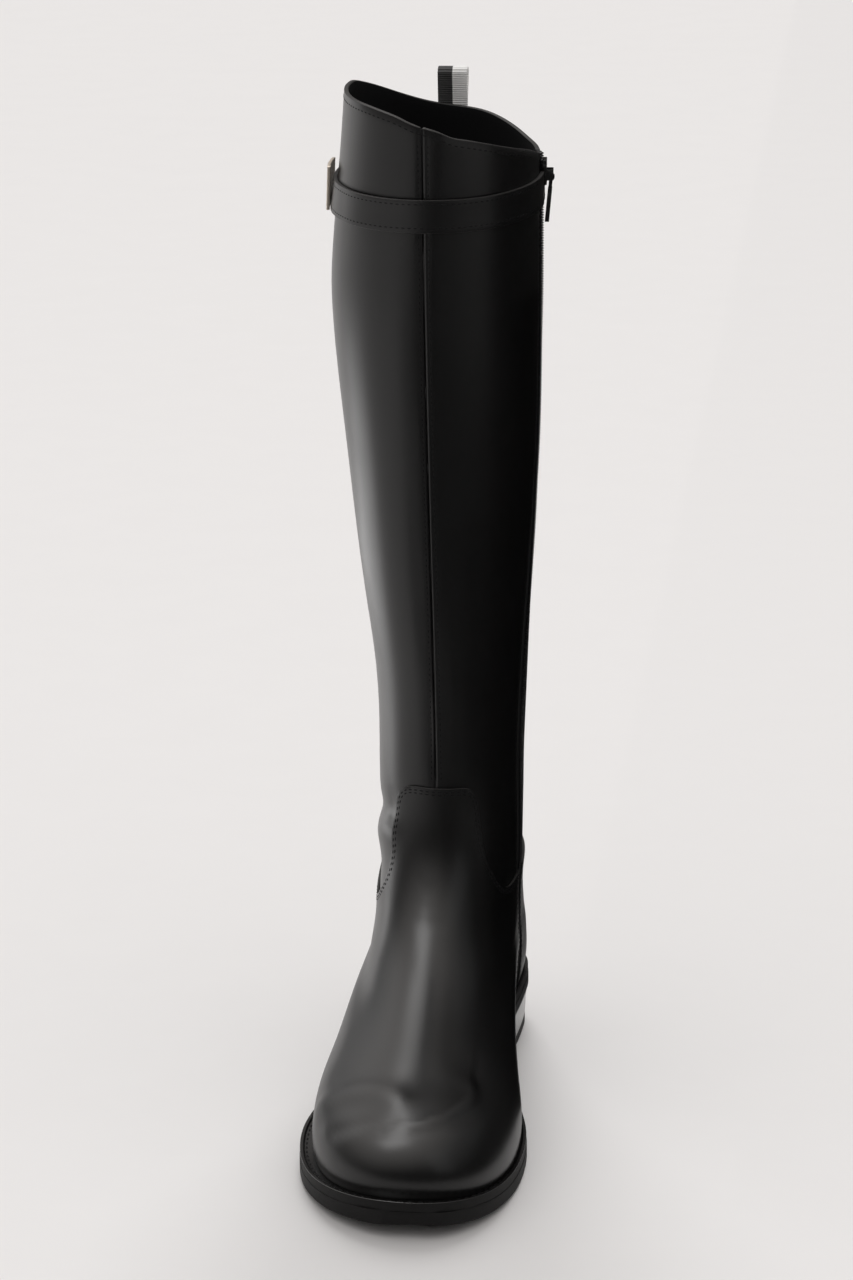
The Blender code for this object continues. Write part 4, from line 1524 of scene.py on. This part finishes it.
    def softbox(
        self, name: str, place: Triple, aim: Triple, size: tuple[float, float], power: float
    ) -> None:
        """Hang one softbox that only shows in reflections.

        Args:
            name: Name of the light.
            place: Middle of the light.
            aim: Point that it faces.
            size: Width and height.
            power: Power in watts.
        """
        data = bpy.data.lights.new(name, "AREA")
        data.shape = "RECTANGLE"
        data.size = size[0]
        data.size_y = size[1]
        data.energy = power
        light = put(name, data)
        light.visible_diffuse = False
        light.visible_camera = False
        light.location = place
        way = Vector(aim) - Vector(place)
        light.rotation_euler = way.to_track_quat("-Z", "Y").to_euler()

    def place_camera(self) -> None:
        """Put the camera where the photograph was taken, aimed at the one boot."""
        data = bpy.data.cameras.new("camera")
        data.lens = self.lens_mm
        data.sensor_width = self.sensor_mm
        camera = put("camera", data)
        turn = Matrix.Rotation(math.radians(self.heading_deg), 4, "Z")
        tilt = Matrix.Rotation(math.radians(90.0 - self.tilt_deg), 4, "X")
        aim = Matrix.Rotation(math.radians(self.aim_deg), 4, "Y")
        camera.matrix_world = Matrix.Translation(self.camera_place) @ turn @ tilt @ aim
        bpy.context.scene.camera = camera
        bpy.context.scene.view_settings.view_transform = "Standard"


def main() -> None:
    """Build the boot piece by piece and set the studio."""
    logging.basicConfig(level=logging.INFO, format="%(name)s %(message)s")
    # Smooth calf, polished: near black with soft, slightly blurred reflections.
    leather = Leather(
        "Polished calf leather", "#060606", "#0b0a0b", 0.34, 0.7, 0.01, specular=0.5
    ).material()
    # Dyed and burnished cut edges: duller and a little greyer than the face. The lighter grey is partly a
    # painted highlight where the edges catch the light.
    edge = Finish("Dyed leather edge with painted highlight", "#262525", "#302f2e", 0.5, 0.4, 0.02, specular=0.4).material()
    # Napped lining textile: dull, near black.
    lining = Finish("Lining textile", "#0f0f10", "#141415", 0.9, 0.5, 0.05, specular=0.15).material()
    # Waxed polyester thread: dull charcoal with a fine twist.
    thread = Woven(
        "Waxed thread", "#121213", "#1c1c1d", 0.8, 0.45, 0.04, specular=0.15, ribs=Ribs.TWISTED
    ).material()
    # Moulded rubber: matt black with a fine grit.
    rubber = Finish("Moulded rubber", "#0c0c0c", "#151414", 0.65, 0.55, 0.07, specular=0.25).material()
    # Waxed welt: smoother than the sole, with a bright line on its lip.
    welt = Finish("Waxed welt", "#141313", "#1a1919", 0.24, 0.6, 0.02, specular=0.8).material()
    # Lacquered stacked heel: glossy black.
    lacquer = Finish(
        "Lacquered heel", "#0e0d0d", "#1c1a19", 0.3, 1.2, 0.01, coat=0.5, coat_roughness=0.12
    ).material()
    # Insole leather: matt, undyed side up.
    insole = Leather("Insole leather", "#2a2624", "#332e2b", 0.7, 0.9, 0.03, specular=0.25).material()
    # Woven polyester zip tape.
    tape = Woven("Zip tape", "#0c0c0d", "#161617", 0.75, 0.5, 0.06, specular=0.3).material()
    # Nylon coil: smooth and a little glossy.
    nylon = Finish("Nylon coil", "#0d0d0e", "#151516", 0.35, 0.4, 0.01).material()
    # Black enamel on cast zinc: glossy.
    enamel = Finish(
        "Black enamel", "#0a0a0a", "#101010", 0.18, 0.8, 0.004, coat=0.4, coat_roughness=0.08
    ).material()
    # Pale nickel plating with fine brush lines.
    nickel = Brushed("Pale nickel", "#e6dccf", "#d6cabb", 0.42, 0.2, 0.006, metallic=0.8).material()
    upper = UpperLeather(leather, lining, edge, thread)
    upper.build()
    ZipFastener(tape, nylon, enamel, thread, upper).build()
    StrapBand(leather, edge, nickel, thread).build()
    SoleUnit(rubber, welt, lacquer, insole, thread).build()
    PullLoop().build()
    Studio().build()


if __name__ == "__main__":
    main()
